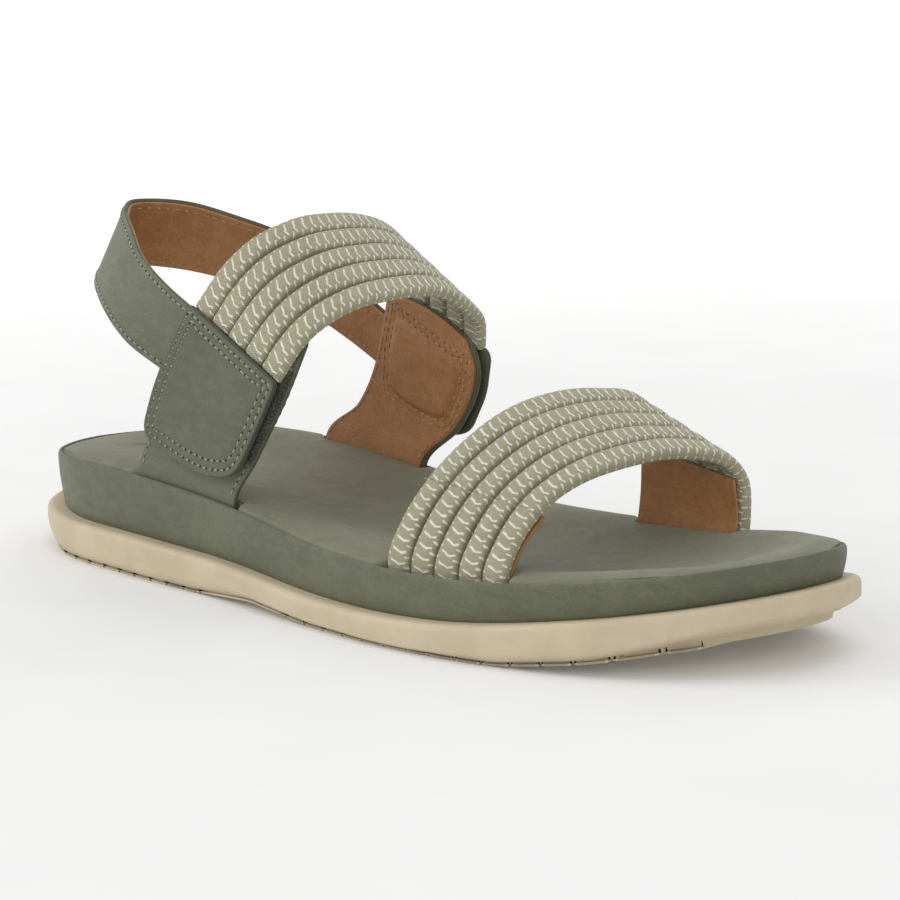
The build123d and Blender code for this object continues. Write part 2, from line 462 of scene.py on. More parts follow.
class Shader:
    """Node tree of one finish, with short ways to add its nodes."""

    def __init__(self, name: str) -> None:
        """Start an empty principled finish.

        Args:
            name: Name of the material.
        """
        self.material = bpy.data.materials.new(name)
        self.material.use_nodes = True
        self.tree = self.material.node_tree
        self.surface = self.tree.nodes["Principled BSDF"]
        self.object = self.add("TexCoord").outputs["Object"]

    def add(self, kind: str, inputs: Optional[dict] = None, **settings: Any) -> Any:
        """Add a shader node."""
        return add_node(self.tree, "ShaderNode" + kind, inputs, **settings)

    def math(self, operation: str, *values: Any) -> Any:
        """Add one step of arithmetic."""
        return self.add("Math", dict(enumerate(values)), operation=operation).outputs[0]

    def blend(self, first: Any, much: float, second: Any, little: float) -> Any:
        """Add two values, each with its own weight."""
        return self.math("ADD", self.math("MULTIPLY", first, much), self.math("MULTIPLY", second, little))

    def rest(self, value: Any, weight: float) -> Any:
        """What a value lacks to one, times a weight."""
        return self.math("MULTIPLY", self.math("SUBTRACT", 1.0, value), weight)

    def step(self, value: Any, low: float, high: float, start: float = 0.0, end: float = 1.0,
             smooth: bool = True) -> Any:
        """Carry a value from one range to another, clamped.

        Args:
            value: Value to carry over.
            low: Where the step starts.
            high: Where it ends.
            start: Result at its start.
            end: Result at its end.
            smooth: Whether it eases in and out.

        Returns:
            The new value.
        """
        kind = "SMOOTHSTEP" if smooth else "LINEAR"
        inputs = {0: value, 1: low, 2: high, 3: start, 4: end}
        return self.add("MapRange", inputs, interpolation_type=kind).outputs[0]

    def mix(self, share: Any, first: Any, second: Any) -> Any:
        """Blend two colours.

        Args:
            share: Share of the second colour.
            first: Colour at 0.
            second: Colour at 1.

        Returns:
            The colour.
        """
        colours = [(*c, 1.0) if isinstance(c, tuple) and len(c) == 3 else c for c in (first, second)]
        inputs = {0: share, 6: colours[0], 7: colours[1]}
        return self.add("Mix", inputs, data_type="RGBA").outputs[2]

    def noise(self, size: float, detail: float = 3.0, rough: float = 0.55, stretch: Any = None,
              warp: float = 0.0) -> Any:
        """Noise whose features are a size in millimetres, stretched or not.

        Args:
            size: Size of the features in millimetres.
            detail: Octaves.
            rough: Weight of the finer octaves.
            stretch: Scale on each axis.
            warp: How much the pattern swirls.

        Returns:
            The noise, about 0 to 1.
        """
        where = self.object
        if stretch is not None:
            where = self.add("Mapping", {"Vector": where, "Scale": stretch}).outputs[0]
        inputs = {"Vector": where, "Scale": 1 / (size * MM), "Detail": detail, "Roughness": rough,
                  "Distortion": warp}
        return self.add("TexNoise", inputs).outputs[0]

    def cells(self, size: float, feature: str = "DISTANCE_TO_EDGE") -> Any:
        """Cells of a size in millimetres, as a distance."""
        inputs = {"Vector": self.object, "Scale": 1 / (size * MM)}
        return self.add("TexVoronoi", inputs, feature=feature).outputs["Distance"]

    def attribute(self, name: str) -> Any:
        """Read a number stored on the piece's points."""
        return self.add("Attribute", attribute_name=name).outputs["Fac"]

    def bump(self, height: Any, depth: float, strength: float = 1.0, under: Any = None) -> Any:
        """Raise the surface by a depth in millimetres where the height is one.

        Args:
            height: Height, 0 to 1.
            depth: Millimetres at height one.
            strength: Share of the effect.
            under: Normal that it adds to.

        Returns:
            The normal.
        """
        inputs = {"Height": height, "Distance": depth * MM, "Strength": strength}
        if under is not None:
            inputs["Normal"] = under
        return self.add("Bump", inputs).outputs[0]

    def finish(self, colour: Any, roughness: Any, normal: Any = None, **constants: float) -> Any:
        """Connect the surface and set its constant values.

        Args:
            colour: Base colour.
            roughness: Roughness.
            normal: Surface normal.
            constants: Values of other sockets by name.

        Returns:
            The material.
        """
        feed(self.tree, self.surface.inputs["Base Color"], colour)
        feed(self.tree, self.surface.inputs["Roughness"], roughness)
        if normal is not None:
            feed(self.tree, self.surface.inputs["Normal"], normal)
        for name, value in constants.items():
            socket = name.replace("_", " ").title().replace("Ior", "IOR")
            self.surface.inputs[socket].default_value = value
        return self.material


@dataclass(frozen=True)
class Leather:
    """Fine-grained leather with soft colour clouds, pores and a darker cut edge."""

    name: str
    dark: Colour
    light: Colour
    edge: Colour
    grain: float = 0.55
    depth: float = 0.05
    roughness: float = 0.72
    sheen: float = 0.12
    wrinkle: float = 0.0

    def make(self) -> Any:
        """Build the finish.

        Returns:
            The material.
        """
        shader = Shader(self.name)
        clouds = shader.noise(22, 4, 0.6)
        streaks = shader.noise(5, 4, 0.65, (1.0, 1.0, 2.2), 0.4)
        pores = shader.noise(self.grain, 3, 0.6)
        mixed = shader.blend(clouds, 0.6, streaks, 0.4)
        tone = shader.step(mixed, 0.36, 0.64)
        colour = shader.mix(tone, self.dark, self.light)
        freckle = shader.step(pores, 0.34, 0.56)
        colour = shader.mix(shader.rest(freckle, 0.22), colour, self.edge)
        colour = shader.mix(shader.attribute("rim"), colour, self.edge)
        cells = shader.step(shader.cells(self.grain * 1.6), 0.0, 0.25)
        normal = shader.bump(shader.blend(pores, 0.7, cells, 0.5), self.depth)
        if self.wrinkle:
            folds = shader.noise(9, 5, 0.62, (1.0, 1.0, 0.45), 1.6)
            creases = shader.math("ABSOLUTE", shader.math("SUBTRACT", folds, 0.5))
            line = shader.step(creases, 0.0, 0.055)
            # Painted shade: the wrinkle creases are darkened towards the edge colour.
            colour = shader.mix(shader.rest(line, 0.12), colour, self.edge)
            normal = shader.bump(line, self.wrinkle, 0.6, normal)
        rough = shader.step(streaks, 0.3, 0.7, self.roughness + 0.07, self.roughness - 0.07)
        return shader.finish(colour, rough, normal, sheen_weight=self.sheen, sheen_roughness=0.5)


@dataclass(frozen=True)
class WovenCord:
    """Flat braided elastic: olive ground with kinked pale yarns, laid by the cord's own pattern map."""

    name: str = "braided_elastic"
    ground_dark: Colour = (0.235, 0.218, 0.128)
    ground_light: Colour = (0.500, 0.475, 0.310)
    yarn: Colour = (0.95, 0.93, 0.85)
    threads_along: float = 6.0
    threads_across: float = 9.0
    strokes: Sequence[tuple[tuple[Pair, ...], float]] = (
        (((0.13, 0.92), (0.26, 0.86)), 0.10),
        (((0.30, 0.42), (0.64, 0.0), (0.82, 0.11)), 0.105),
        (((0.77, 0.68), (0.97, 0.56)), 0.10),
    )

    def stroke(self, shader: Shader, run: Any, across: Any, bends: Sequence[Pair], half: float) -> Any:
        """One pale yarn that repeats along the cord.

        Args:
            shader: Finish being built.
            run: Distance along the cord in pattern lengths.
            across: Share of the width.
            bends: Pairs of share across and shift along, in order.
            half: Half the yarn's width in pattern lengths.

        Returns:
            Cover of the yarn, 0 to 1.
        """
        place_along: Any = bends[0][1]
        for (low, before), (high, after) in zip(bends, bends[1:]):
            part = shader.step(across, low, high, 0.0, after - before, smooth=False)
            place_along = shader.math("ADD", part, place_along)
        away = shader.math("WRAP", shader.math("SUBTRACT", run, place_along), 0.5, -0.5)
        body = shader.step(shader.math("ABSOLUTE", away), half * 0.62, half * 1.3, 1.0, 0.0)
        start = shader.step(across, bends[0][0] - 0.02, bends[0][0] + 0.03)
        end = shader.step(across, bends[-1][0] - 0.03, bends[-1][0] + 0.02, 1.0, 0.0)
        return shader.math("MULTIPLY", body, shader.math("MULTIPLY", start, end))

    def make(self) -> Any:
        """Build the finish.

        Returns:
            The material.
        """
        shader = Shader(self.name)
        pattern = shader.add("UVMap", uv_map="pattern").outputs[0]
        split = shader.add("SeparateXYZ", {0: pattern})
        run, across = split.outputs[0], split.outputs[1]
        wobble = shader.step(shader.noise(2.2, 2), 0.3, 0.7, -0.05, 0.05)
        run = shader.math("ADD", run, wobble)
        rear, kink, front = (self.stroke(shader, run, across, *stroke) for stroke in self.strokes)
        pale = shader.math("MAXIMUM", rear, shader.math("MAXIMUM", kink, front))
        fray = shader.step(shader.noise(0.25, 2), 0.3, 0.55, 0.72, 1.0)
        pale = shader.math("MULTIPLY", pale, fray)
        woven = []
        for way in (1, -1):
            lay = shader.blend(run, self.threads_along, across, way * self.threads_across)
            turn = shader.math("ABSOLUTE", shader.math("WRAP", lay, 0.5, -0.5))
            woven.append(shader.step(turn, 0.0, 0.3))
        weave = shader.math("MULTIPLY", *woven)
        shade = shader.blend(weave, 0.6, shader.noise(3.5, 3), 0.5)
        colour = shader.mix(shader.step(shade, 0.1, 0.85), self.ground_dark, self.ground_light)
        colour = shader.mix(pale, colour, self.yarn)
        normal = shader.bump(weave, 0.10, 0.8)
        normal = shader.bump(pale, 0.28, 0.9, normal)
        return shader.finish(colour, 0.82, normal, sheen_weight=0.15, sheen_roughness=0.45)


@dataclass(frozen=True)
class Rubber:
    """Matt moulded rubber with faint mottling, fine dust specks and painted shade on its downward faces.
    """

    name: str = "cream_rubber"
    light: Colour = (0.63, 0.53, 0.37)
    dark: Colour = (0.57, 0.475, 0.325)
    dust_and_shade: Colour = (0.36, 0.31, 0.24)

    def make(self) -> Any:
        """Build the finish.

        Returns:
            The material.
        """
        shader = Shader(self.name)
        colour = shader.mix(shader.step(shader.noise(14, 4), 0.35, 0.65), self.dark, self.light)
        speck = shader.step(shader.noise(0.8, 2), 0.64, 0.74, 0.0, 0.22)
        colour = shader.mix(speck, colour, self.dust_and_shade)
        # Painted shade: faces that point down are darkened towards the same dark colour as the dust
        # specks.
        down = shader.add("SeparateXYZ", {0: shader.add("NewGeometry").outputs["Normal"]}).outputs[2]
        under = shader.step(down, -0.98, -0.80, 0.35, 0.0)
        colour = shader.mix(under, colour, self.dust_and_shade)
        normal = shader.bump(shader.noise(0.6, 3), 0.03)
        return shader.finish(colour, shader.step(shader.noise(3, 3), 0.3, 0.7, 0.62, 0.5), normal)


@dataclass(frozen=True)
class Thread:
    """Twisted sewing thread."""

    name: str
    light: Colour
    dark: Colour

    def make(self) -> Any:
        """Build the finish.

        Returns:
            The material.
        """
        shader = Shader(self.name)
        twist = shader.noise(0.35, 2, 0.5)
        colour = shader.mix(shader.step(twist, 0.35, 0.62), self.dark, self.light)
        return shader.finish(colour, 0.7, shader.bump(twist, 0.05), sheen_weight=0.2)


@dataclass(frozen=True)
class Pile:
    """Short pile or small hooks: cells of loops over a dark backing."""

    name: str
    light: Colour
    dark: Colour
    size: float = 0.6
    depth: float = 0.25
    roughness: float = 0.9

    def make(self) -> Any:
        """Build the finish.

        Returns:
            The material.
        """
        shader = Shader(self.name)
        loops_on = shader.step(shader.cells(self.size, "F1"), 0.15, 0.75, 1.0, 0.0)
        clumps = shader.noise(self.size * 5, 3)
        mixed = shader.blend(loops_on, 0.6, clumps, 0.5)
        colour = shader.mix(shader.step(mixed, 0.2, 0.9), self.dark, self.light)
        return shader.finish(colour, self.roughness, shader.bump(loops_on, self.depth), sheen_weight=0.2)


class Finishes:
    """All finishes of the sandal, made once."""

    def __init__(self) -> None:
        """Make every material."""
        self.green = Leather(
            "sage_nubuck", (0.116, 0.124, 0.074), (0.148, 0.158, 0.096), (0.050, 0.054, 0.031)).make()
        # The closure tab gets a darker copy of the sage nubuck: painted shade.
        self.tab = Leather(
            "sage_nubuck_tab_shaded", (0.094, 0.101, 0.058), (0.116, 0.125, 0.074), (0.040, 0.044, 0.024)).make()
        self.sock = Leather(
            "sock_nubuck", (0.178, 0.178, 0.112), (0.214, 0.213, 0.137), (0.075, 0.074, 0.046),
            grain=0.5, depth=0.035).make()
        self.brown = Leather(
            "tan_lining", (0.370, 0.165, 0.055), (0.460, 0.218, 0.080), (0.150, 0.062, 0.022),
            grain=0.7, depth=0.05, roughness=0.58, sheen=0.05, wrinkle=0.08).make()
        self.cord = WovenCord().make()
        self.rubber = Rubber().make()
        self.thread = Thread("sage_thread", (0.36, 0.39, 0.29), (0.16, 0.18, 0.12)).make()
        self.dark_thread = Thread("olive_thread", (0.09, 0.09, 0.055), (0.03, 0.03, 0.02)).make()
        self.brown_thread = Thread("tan_thread", (0.56, 0.36, 0.19), (0.26, 0.14, 0.065)).make()
        # Near-black beads in the needle holes are painted shade.
        self.hole = Thread("needle_hole_shade", (0.025, 0.026, 0.016), (0.012, 0.012, 0.008)).make()
        self.loop = Pile("loop_pile", (0.075, 0.076, 0.050), (0.020, 0.020, 0.013)).make()
        self.hook = Pile(
            "moulded_hooks", (0.10, 0.105, 0.075), (0.03, 0.03, 0.02),
            size=0.9, depth=0.35, roughness=0.55).make()
        self.foam = Pile("grey_foam", (0.10, 0.10, 0.085), (0.05, 0.05, 0.04), 0.5, 0.1).make()
        self.board = Pile("fibre_board", (0.24, 0.18, 0.11), (0.14, 0.10, 0.06), 0.8, 0.05).make()


# ---------------------------------------------------------------- stitches


@dataclass(frozen=True)
class Stitch:
    """Sizes of one kind of stitch in millimetres."""

    pitch: float = 2.5
    length: float = 1.9
    radius: float = 0.3
    hole: float = 0.3

    def sockets(self) -> dict[str, float]:
        """Sizes in metres under the names of the tree's inputs."""
        names = ("Pitch", "Stitch Length", "Thread Radius", "Hole Radius")
        sizes = (self.pitch, self.length, self.radius, self.hole)
        return {name: size * MM for name, size in zip(names, sizes)}


TAB_STITCH = Stitch(2.5, 1.75, 0.3, 0.34)
QUARTER_STITCH = Stitch(2.5, 1.75, 0.28, 0.22)
SLING_STITCH = Stitch(2.6, 1.8, 0.26, 0.25)
SLING_LINING_STITCH = Stitch(2.6, 1.8, 0.24, 0.17)
LINING_STITCH = Stitch(2.6, 1.8, 0.26, 0.17)
TOE_STITCH = Stitch(2.4, 1.8, 0.2, 0.1)
SEAM_STITCH = Stitch(2.6, 1.8, 0.22, 0.16)


class StitchTree:
    """Geometry Nodes tree that sews one row of stitches along each edge path of a mesh."""

    def __init__(self, name: str, thread: Any, hole: Any) -> None:
        """Build the tree.

        Args:
            name: Name of the tree.
            thread: Finish of the stitches.
            hole: Finish of the needle holes between them, near-black beads of painted shade.
        """
        self.tree = bpy.data.node_groups.new(name, "GeometryNodeTree")
        face = self.tree.interface
        face.new_socket("Geometry", in_out="INPUT", socket_type="NodeSocketGeometry")
        for key, value in Stitch().sockets().items():
            socket = face.new_socket(key, in_out="INPUT", socket_type="NodeSocketFloat")
            socket.default_value = value
        face.new_socket("Geometry", in_out="OUTPUT", socket_type="NodeSocketGeometry")
        self.enter = self.tree.nodes.new("NodeGroupInput")
        leave = self.tree.nodes.new("NodeGroupOutput")
        curve = self.node("GeometryNodeMeshToCurve", {"Mesh": self.enter.outputs["Geometry"]})
        threads = self.row(curve.outputs[0], 0.0, thread, "Stitch Length", "Thread Radius")
        holes = self.row(curve.outputs[0], 0.5, hole, "Hole Radius", "Hole Radius")
        joined = self.tree.nodes.new("GeometryNodeJoinGeometry")
        self.tree.links.new(threads, joined.inputs[0])
        self.tree.links.new(holes, joined.inputs[0])
        self.tree.links.new(joined.outputs[0], leave.inputs[0])

    def node(self, kind: str, inputs: dict, **settings: Any) -> Any:
        """Add a node to the tree."""
        return add_node(self.tree, kind, inputs, **settings)

    def row(self, curve: Any, shift: float, material: Any, length: str, radius: str) -> Any:
        """Lay one kind of bead along the path.

        Args:
            curve: Path to follow.
            shift: Shift along the path in pitches.
            material: Finish of the beads.
            length: Input that gives a bead's length.
            radius: Input that gives a bead's half thickness.

        Returns:
            The beads as real geometry with their finish.
        """
        pitch = self.enter.outputs["Pitch"]
        ease = self.node("ShaderNodeMath", {0: pitch, 1: shift}, operation="MULTIPLY")
        trimmed = self.node(
            "GeometryNodeTrimCurve", {"Curve": curve, 4: ease.outputs[0], 5: 100.0}, mode="LENGTH")
        points = self.node(
            "GeometryNodeCurveToPoints", {"Curve": trimmed.outputs[0], "Length": pitch}, mode="LENGTH")
        up = self.node("GeometryNodeInputNamedAttribute", {"Name": "up"}, data_type="FLOAT_VECTOR")
        tangent = points.outputs["Tangent"]
        first = self.node("FunctionNodeAlignRotationToVector", {"Vector": tangent}, axis="X")
        second = self.node(
            "FunctionNodeAlignRotationToVector", {"Rotation": first.outputs[0], "Vector": up.outputs[0]},
            axis="Z", pivot_axis="X")
        bead = self.node("GeometryNodeMeshUVSphere", {"Segments": 7, "Rings": 6, "Radius": 1.0})
        scale = 1.0 if length == radius else 0.5
        whole = self.enter.outputs[length]
        half = self.node("ShaderNodeMath", {0: whole, 1: scale}, operation="MULTIPLY")
        thick = self.enter.outputs[radius]
        size = self.node("ShaderNodeCombineXYZ", {0: half.outputs[0], 1: thick, 2: thick})
        laid = self.node("GeometryNodeInstanceOnPoints", {
            "Points": points.outputs["Points"], "Instance": bead.outputs[0],
            "Rotation": second.outputs[0], "Scale": size.outputs[0]})
        real = self.node("GeometryNodeRealizeInstances", {"Geometry": laid.outputs[0]})
        inputs = {"Geometry": real.outputs[0], "Material": material}
        return self.node("GeometryNodeSetMaterial", inputs).outputs[0]


@dataclass
class Path:
    """One row of stitches: its points and the direction out of the surface at each."""

    points: np.ndarray
    up: np.ndarray
    closed: bool = False


def sew(name: str, paths: Sequence[Path], tree: StitchTree, stitch: Stitch) -> Any:
    """Sew rows of stitches and return them as one plain mesh.

    Args:
        name: Piece name.
        paths: Rows to follow.
        tree: Stitch tree to use.
        stitch: Sizes of the stitches.

    Returns:
        The finished object.
    """
    points, up, edges = [], [], []
    for path in paths:
        first = len(points)
        points.extend(place(path.points).tolist())
        up.extend(path.up.tolist())
        edges.extend((first + i, first + i + 1) for i in range(len(path.points) - 1))
        if path.closed:
            edges.append((first + len(path.points) - 1, first))
    mesh = bpy.data.meshes.new(name + "_path")
    mesh.from_pydata(points, edges, [])
    layer = mesh.attributes.new("up", "FLOAT_VECTOR", "POINT")
    layer.data.foreach_set("vector", np.array(up, np.float32).ravel())
    guide = link(name + "_path", mesh)
    modifier = guide.modifiers.new("stitches", "NODES")
    modifier.node_group = tree.tree
    sizes = stitch.sockets()
    for item in tree.tree.interface.items_tree:
        if item.item_type == "SOCKET" and item.name in sizes:
            modifier[item.identifier] = sizes[item.name]
    graph = bpy.context.evaluated_depsgraph_get()
    result = bpy.data.meshes.new_from_object(guide.evaluated_get(graph), depsgraph=graph)
    result.name = name
    bpy.data.objects.remove(guide)
    if "up" in result.attributes:
        result.attributes.remove(result.attributes["up"])
    LOG.info("%s: %d faces", name, len(result.polygons))
    return link(name, result)


def row_on(frames: Frames, share: float, shift: float, lift: float) -> Path:
    """Path on a band at a share of its width plus a shift, raised by a lift.

    Args:
        frames: Rows of the band.
        share: Share of the width.
        shift: Millimetres added to it.
        lift: Height over the band's top, below it if negative.

    Returns:
        The path.
    """
    across = share * frames.width + shift
    points = frames.foot + frames.across * across[:, None] + frames.normal * lift
    return Path(points, frames.normal * np.sign(lift if lift else 1.0))


def edge_rows(frames: Frames, inset: float, lift: float) -> list[Path]:
    """Paths along both edges of a band, standing in from them."""
    return [row_on(frames, 0, inset, lift), row_on(frames, 1, -inset, lift)]


def cut(frames: Frames, low: int, high: int) -> Frames:
    """Keep only the rows from low up to high."""
    parts = (frames.foot, frames.across, frames.along, frames.normal, frames.width, frames.run)
    return Frames(*(part[low:high] for part in parts))


# ---------------------------------------------------------------- sole


@dataclass
class Sole:
    """Cup outsole, core, leather wrap and soft footbed cover round one seam line."""

    finishes: Finishes
    ledge: float = 3.4
    steps: int = 200
    seam: Sequence[Pair] = (
        (3, 0), (12, -20), (29, -31), (60, -36), (100, -38.5), (140, -43), (172, -44.5), (205, -40.5),
        (232, -29.5), (250.7, -12.2), (259, 8.3), (254.8, 27.2), (236, 38), (209, 42.5), (180, 41.5),
        (150, 36.5), (115, 33), (81, 35), (50, 34.5), (28, 29.5), (11, 17),
    )
    stations: Sequence[float] = (-12, 0, 30, 70, 110, 150, 190, 225, 262, 276)
    seam_heights: Sequence[float] = (27, 28, 30, 30.1, 27.3, 23.1, 22.4, 24.8, 30.4, 33)
    ledge_tops: Sequence[float] = (15.6, 15.2, 14.2, 14, 13, 10.9, 11.8, 16, 22.5, 25.6)
    ledge_feet: Sequence[float] = (13.6, 11.6, 6.6, 5, 6.4, 4, 3.9, 7.4, 14.1, 17.6)
    ground_line: Sequence[Pair] = (
        (-12, 12.4), (0, 8.6), (14, 5.2), (28, 3.2), (92, 3.2), (106, 4.2), (118, 5), (130, 4.2),
        (144, 3.2), (206, 3.2), (225, 5.4), (245, 8.8), (262, 12), (276, 15),
    )
    tread_rows: Sequence[tuple[float, float, int]] = ((16, 7.2, 12), (134, 7.6, 15))
    groove_width: float = 0.9
    groove_depth: float = 0.8
    ledge_radius: float = 1.9
    toe_bend: Pair = (232, 254)
    heel_bend: Pair = (4, 30)
    tread_start: float = 6.5
    tread_end: float = 5.5
    bar_side: float = 2.4
    wrap_lip: float = 1.6
    wrap_bulge: float = 0.175
    seam_inset: float = 0.88
    seam_drop: float = 0.48
    bar_radius: float = 0.7
    bar_wall: float = 2.2
    core_inset: float = 1.4
    core_drop: float = 7.5
    weld: float = 0.02
    slot_spans: Sequence[tuple[bool, float, float, float]] = (
        (True, 64.0, 108.0, 2.9), (False, 62.0, 106.0, 2.9),
        (True, 168.6, 206.4, 5.6), (False, 176.4, 213.8, 5.4),
    )

    def __post_init__(self) -> None:
        """Lay out the seam line, its outward directions and the footbed's middle line."""
        ring = np.array(self.seam, float)
        padded = np.vstack([ring[-3:], ring, ring[:4]])
        knots = lengths(padded)
        dense = through(padded, knots, np.linspace(knots[3], knots[3 + len(ring)], 1601))[:-1]
        toe = int(np.argmax(dense[:, 0]))
        heel = int(np.argmin(dense[:, 0]))
        dense = np.roll(dense, -heel, axis=0)
        toe = (toe - heel) % len(dense)
        outer = evenly(dense[: toe + 1], self.steps + 1)
        inner = evenly(np.vstack([dense[toe:], dense[:1]]), self.steps + 1)
        self.line = np.vstack([outer[:-1], inner[:-1]])
        along = unit(np.roll(self.line, -1, axis=0) - np.roll(self.line, 1, axis=0))
        self.out = np.stack([along[:, 1], -along[:, 0]], axis=1)
        partner = (outer + inner[::-1]) / 2
        partner[:, 0] = np.clip(partner[:, 0], 26, 236)
        self.spine = np.vstack([partner[:-1], partner[::-1][:-1]])

    def height(self, heights: Sequence[float], x: np.ndarray) -> np.ndarray:
        """Smooth side profile read at distances from the heel."""
        return through(np.array(heights, float), np.array(self.stations, float), np.asarray(x, float))

    def ground(self, x: np.ndarray) -> np.ndarray:
        """Height of the ground face at distances from the heel."""
        return np.interp(x, *np.array(self.ground_line, float).T)

    def ring(self, grow: Any, share: float = 0.0) -> np.ndarray:
        """Seam line grown outwards, then drawn in towards the middle line by a share."""
        edge = self.line + self.out * np.broadcast_to(np.asarray(grow, float), (len(self.line),))[:, None]
        return edge * (1 - share) + self.spine * share

    def level(self, grow: Any, heights: Sequence[float], shift: Any = 0.0, share: float = 0.0) -> Ring:
        """Ring whose height follows a side profile, shifted up or down."""
        spot = self.ring(grow, share)
        return spot, self.height(heights, spot[:, 0]) + shift

    def solid(self, name: str, rings: Sequence[Ring], material: Any) -> Any:
        """Join rings into one smooth object and weld its poles."""
        points = np.concatenate([np.column_stack([spot, height]) for spot, height in rings])
        return make_mesh(name, points, loops(len(rings), len(self.line)), material, weld=self.weld)

    def outsole(self) -> Any:
        """Rounded ledge over an inset tread, with bars across the ground face.

        Returns:
            The outsole object.
        """
        x = self.ring(self.ledge)[:, 0]
        top, foot = self.height(self.ledge_tops, x), self.height(self.ledge_feet, x)
        toe, heel = eased(x, *self.toe_bend), 1 - eased(x, *self.heel_bend)
        radius = np.minimum(self.ledge_radius, 0.46 * (top - foot))
        inset = 1.2 - 4.6 * eased(x, 228, 252) - 2.6 * (1 - eased(x, 2, 26))
        rings = [self.level(-1.2, self.ledge_tops, -0.05, share) for share in (1.0, 0.5, 0.12)]
        rings += [self.level(grow, self.ledge_tops) for grow in (-1.0, 0.4, 1.2)]
        for turn in np.linspace(0, math.pi / 2, 6):
            grow = self.ledge - radius * (1 - math.sin(turn))
            rings.append(self.level(grow, self.ledge_tops, -radius * (1 - math.cos(turn))))
        low = foot + 1.6 + 1.9 * toe + 0.9 * heel
        floor = np.minimum(self.ground(x) + self.groove_depth + 0.25, foot + 0.4)
        foot_grow = inset + 0.25 + 2.2 * toe
        foot_height = floor * (1 - toe) + (foot + 0.3) * toe
        for share in (0.0, 0.12, 0.25, 0.4, 0.55, 0.7, 0.85, 0.95, 1.0):
            grow = self.ledge + (foot_grow - self.ledge) * share ** (2.3 - 0.9 * np.maximum(toe, heel))
            rings.append((self.ring(grow), low + (foot_height - low) * share))
        step = foot_height - 0.4 * toe
        rings.append((self.ring(foot_grow - 0.5 * toe), step))
        rings.append((self.ring(inset + 0.35 * toe), step - 0.1))
        for narrow, share in ((0.0, 0.0), (0.5, 0.0), (0.0, 0.2), (0.0, 0.6), (0.0, 1.0)):
            spot = self.ring(inset - narrow, share)
            ground = self.ground(spot[:, 0])
            roof = np.minimum(ground + self.groove_depth, self.height(self.ledge_feet, spot[:, 0]) - 0.7)
            rings.append((spot, np.maximum(roof, ground + 0.3)))
        piece = self.solid("outsole_rubber", rings, self.finishes.rubber)
        self.add_bars(piece, inset + 0.6 - 0.3 * toe)
        return settle(piece, Slot.RUBBER, Body.ROOT, "outsole")

    def bar_spans(self) -> list[Pair]:
        """Start and end of each tread bar, between the grooves.

        Returns:
            Distances from the heel, one pair for each bar.
        """
        half = self.groove_width / 2
        edges = [start + pitch * n for start, pitch, count in self.tread_rows for n in range(count)]
        spans = [(a + half, b - half) for a, b in zip(edges, edges[1:])]
        ends = (self.tread_start, edges[0] - half), (edges[-1] + half, edges[-1] + self.tread_end)
        return [ends[0], *spans, ends[1]]

    def add_bars(self, piece: Any, inset: np.ndarray) -> None:
        """Add rounded bars under the tread, each as wide as the sole is there.

        Args:
            piece: Outsole object that the bars join.
            inset: How far the tread stands in from the seam, round the seam line.
        """
        edge = self.ring(inset)
        sides = edge[: self.steps + 1], np.vstack([edge[self.steps:], edge[:1]])
        turn = np.linspace(0, math.pi / 2, 4)
        rise, inside = (self.bar_radius * (1 - turned) for turned in (np.sin(turn), np.cos(turn)))
        points, faces = [], []
        for low, high in self.bar_spans():
            columns = max(2, int((high - low) / 3))
            middle = np.linspace(low + self.bar_radius, high - self.bar_radius, columns)
            xs = np.concatenate([[low], low + inside, middle, high - rise, [high]])
            above = np.concatenate([[self.bar_side], rise, 0 * middle, inside, [self.bar_side]])
            left, right = (np.interp(xs, *side[np.argsort(side[:, 0])].T) for side in sides)
            lines = [(left + narrow, up) for narrow, up in zip(inside[::-1], rise[::-1])]
            lines += [(left + (right - left) * share, 0.0) for share in np.linspace(0.04, 0.96, 8)]
            lines += [(right - narrow, up) for narrow, up in zip(inside, rise)]
            first, count = len(points), len(xs)
            for y, up in lines:
                points.extend(np.column_stack([xs, y, self.ground(xs) + np.maximum(above, up)]).tolist())
            for row in range(len(lines) - 1):
                start = first + row * count
                faces += [(a, a + 1, a + 1 + count, a + count) for a in range(start, start + count - 1)]
        mesh = bpy.data.meshes.new("bars")
        mesh.from_pydata(place(np.array(points)).tolist(), [], faces)
        bars, whole = bmesh.new(), bmesh.new()
        bars.from_mesh(mesh)
        rims = [edge for edge in bars.edges if edge.is_boundary]
        for item in bmesh.ops.extrude_edge_only(bars, edges=rims)["geom"]:
            if isinstance(item, bmesh.types.BMVert):
                item.co.z += self.bar_wall * MM
        bmesh.ops.holes_fill(bars, edges=[edge for edge in bars.edges if edge.is_boundary], sides=0)
        bmesh.ops.recalc_face_normals(bars, faces=bars.faces)
        for face in bars.faces:
            face.smooth = True
        bars.to_mesh(mesh)
        whole.from_mesh(piece.data)
        whole.from_mesh(mesh)
        whole.to_mesh(piece.data)
        for work in (bars, whole):
            work.free()
        bpy.data.meshes.remove(mesh)

    def lean(self, x: np.ndarray) -> np.ndarray:
        """How far the wrap leans in at its foot."""
        return 1.5 - 0.6 * eased(x, 20, 60) + 0.3 * eased(x, 230, 255)

    def core(self) -> Any:
        """Midsole inside the wrap.

        Returns:
            The core object.
        """
        lean, inset, drop = self.lean(self.line[:, 0]), -self.core_inset, -self.core_drop
        rings = [self.level(inset, self.seam_heights, drop, share) for share in (1.0, 0.4)]
        rings.append(self.level(inset - lean * 0.35, self.seam_heights, drop))
        rings.append(self.level(inset - lean, self.ledge_tops, 0.05))
        rings += [self.level(inset, self.ledge_tops, 0.05, share) for share in (0.4, 1.0)]
        piece = self.solid("midsole_core", rings, self.finishes.foam)
        return settle(piece, Slot.FOAM, Body.ROOT, "midsole")

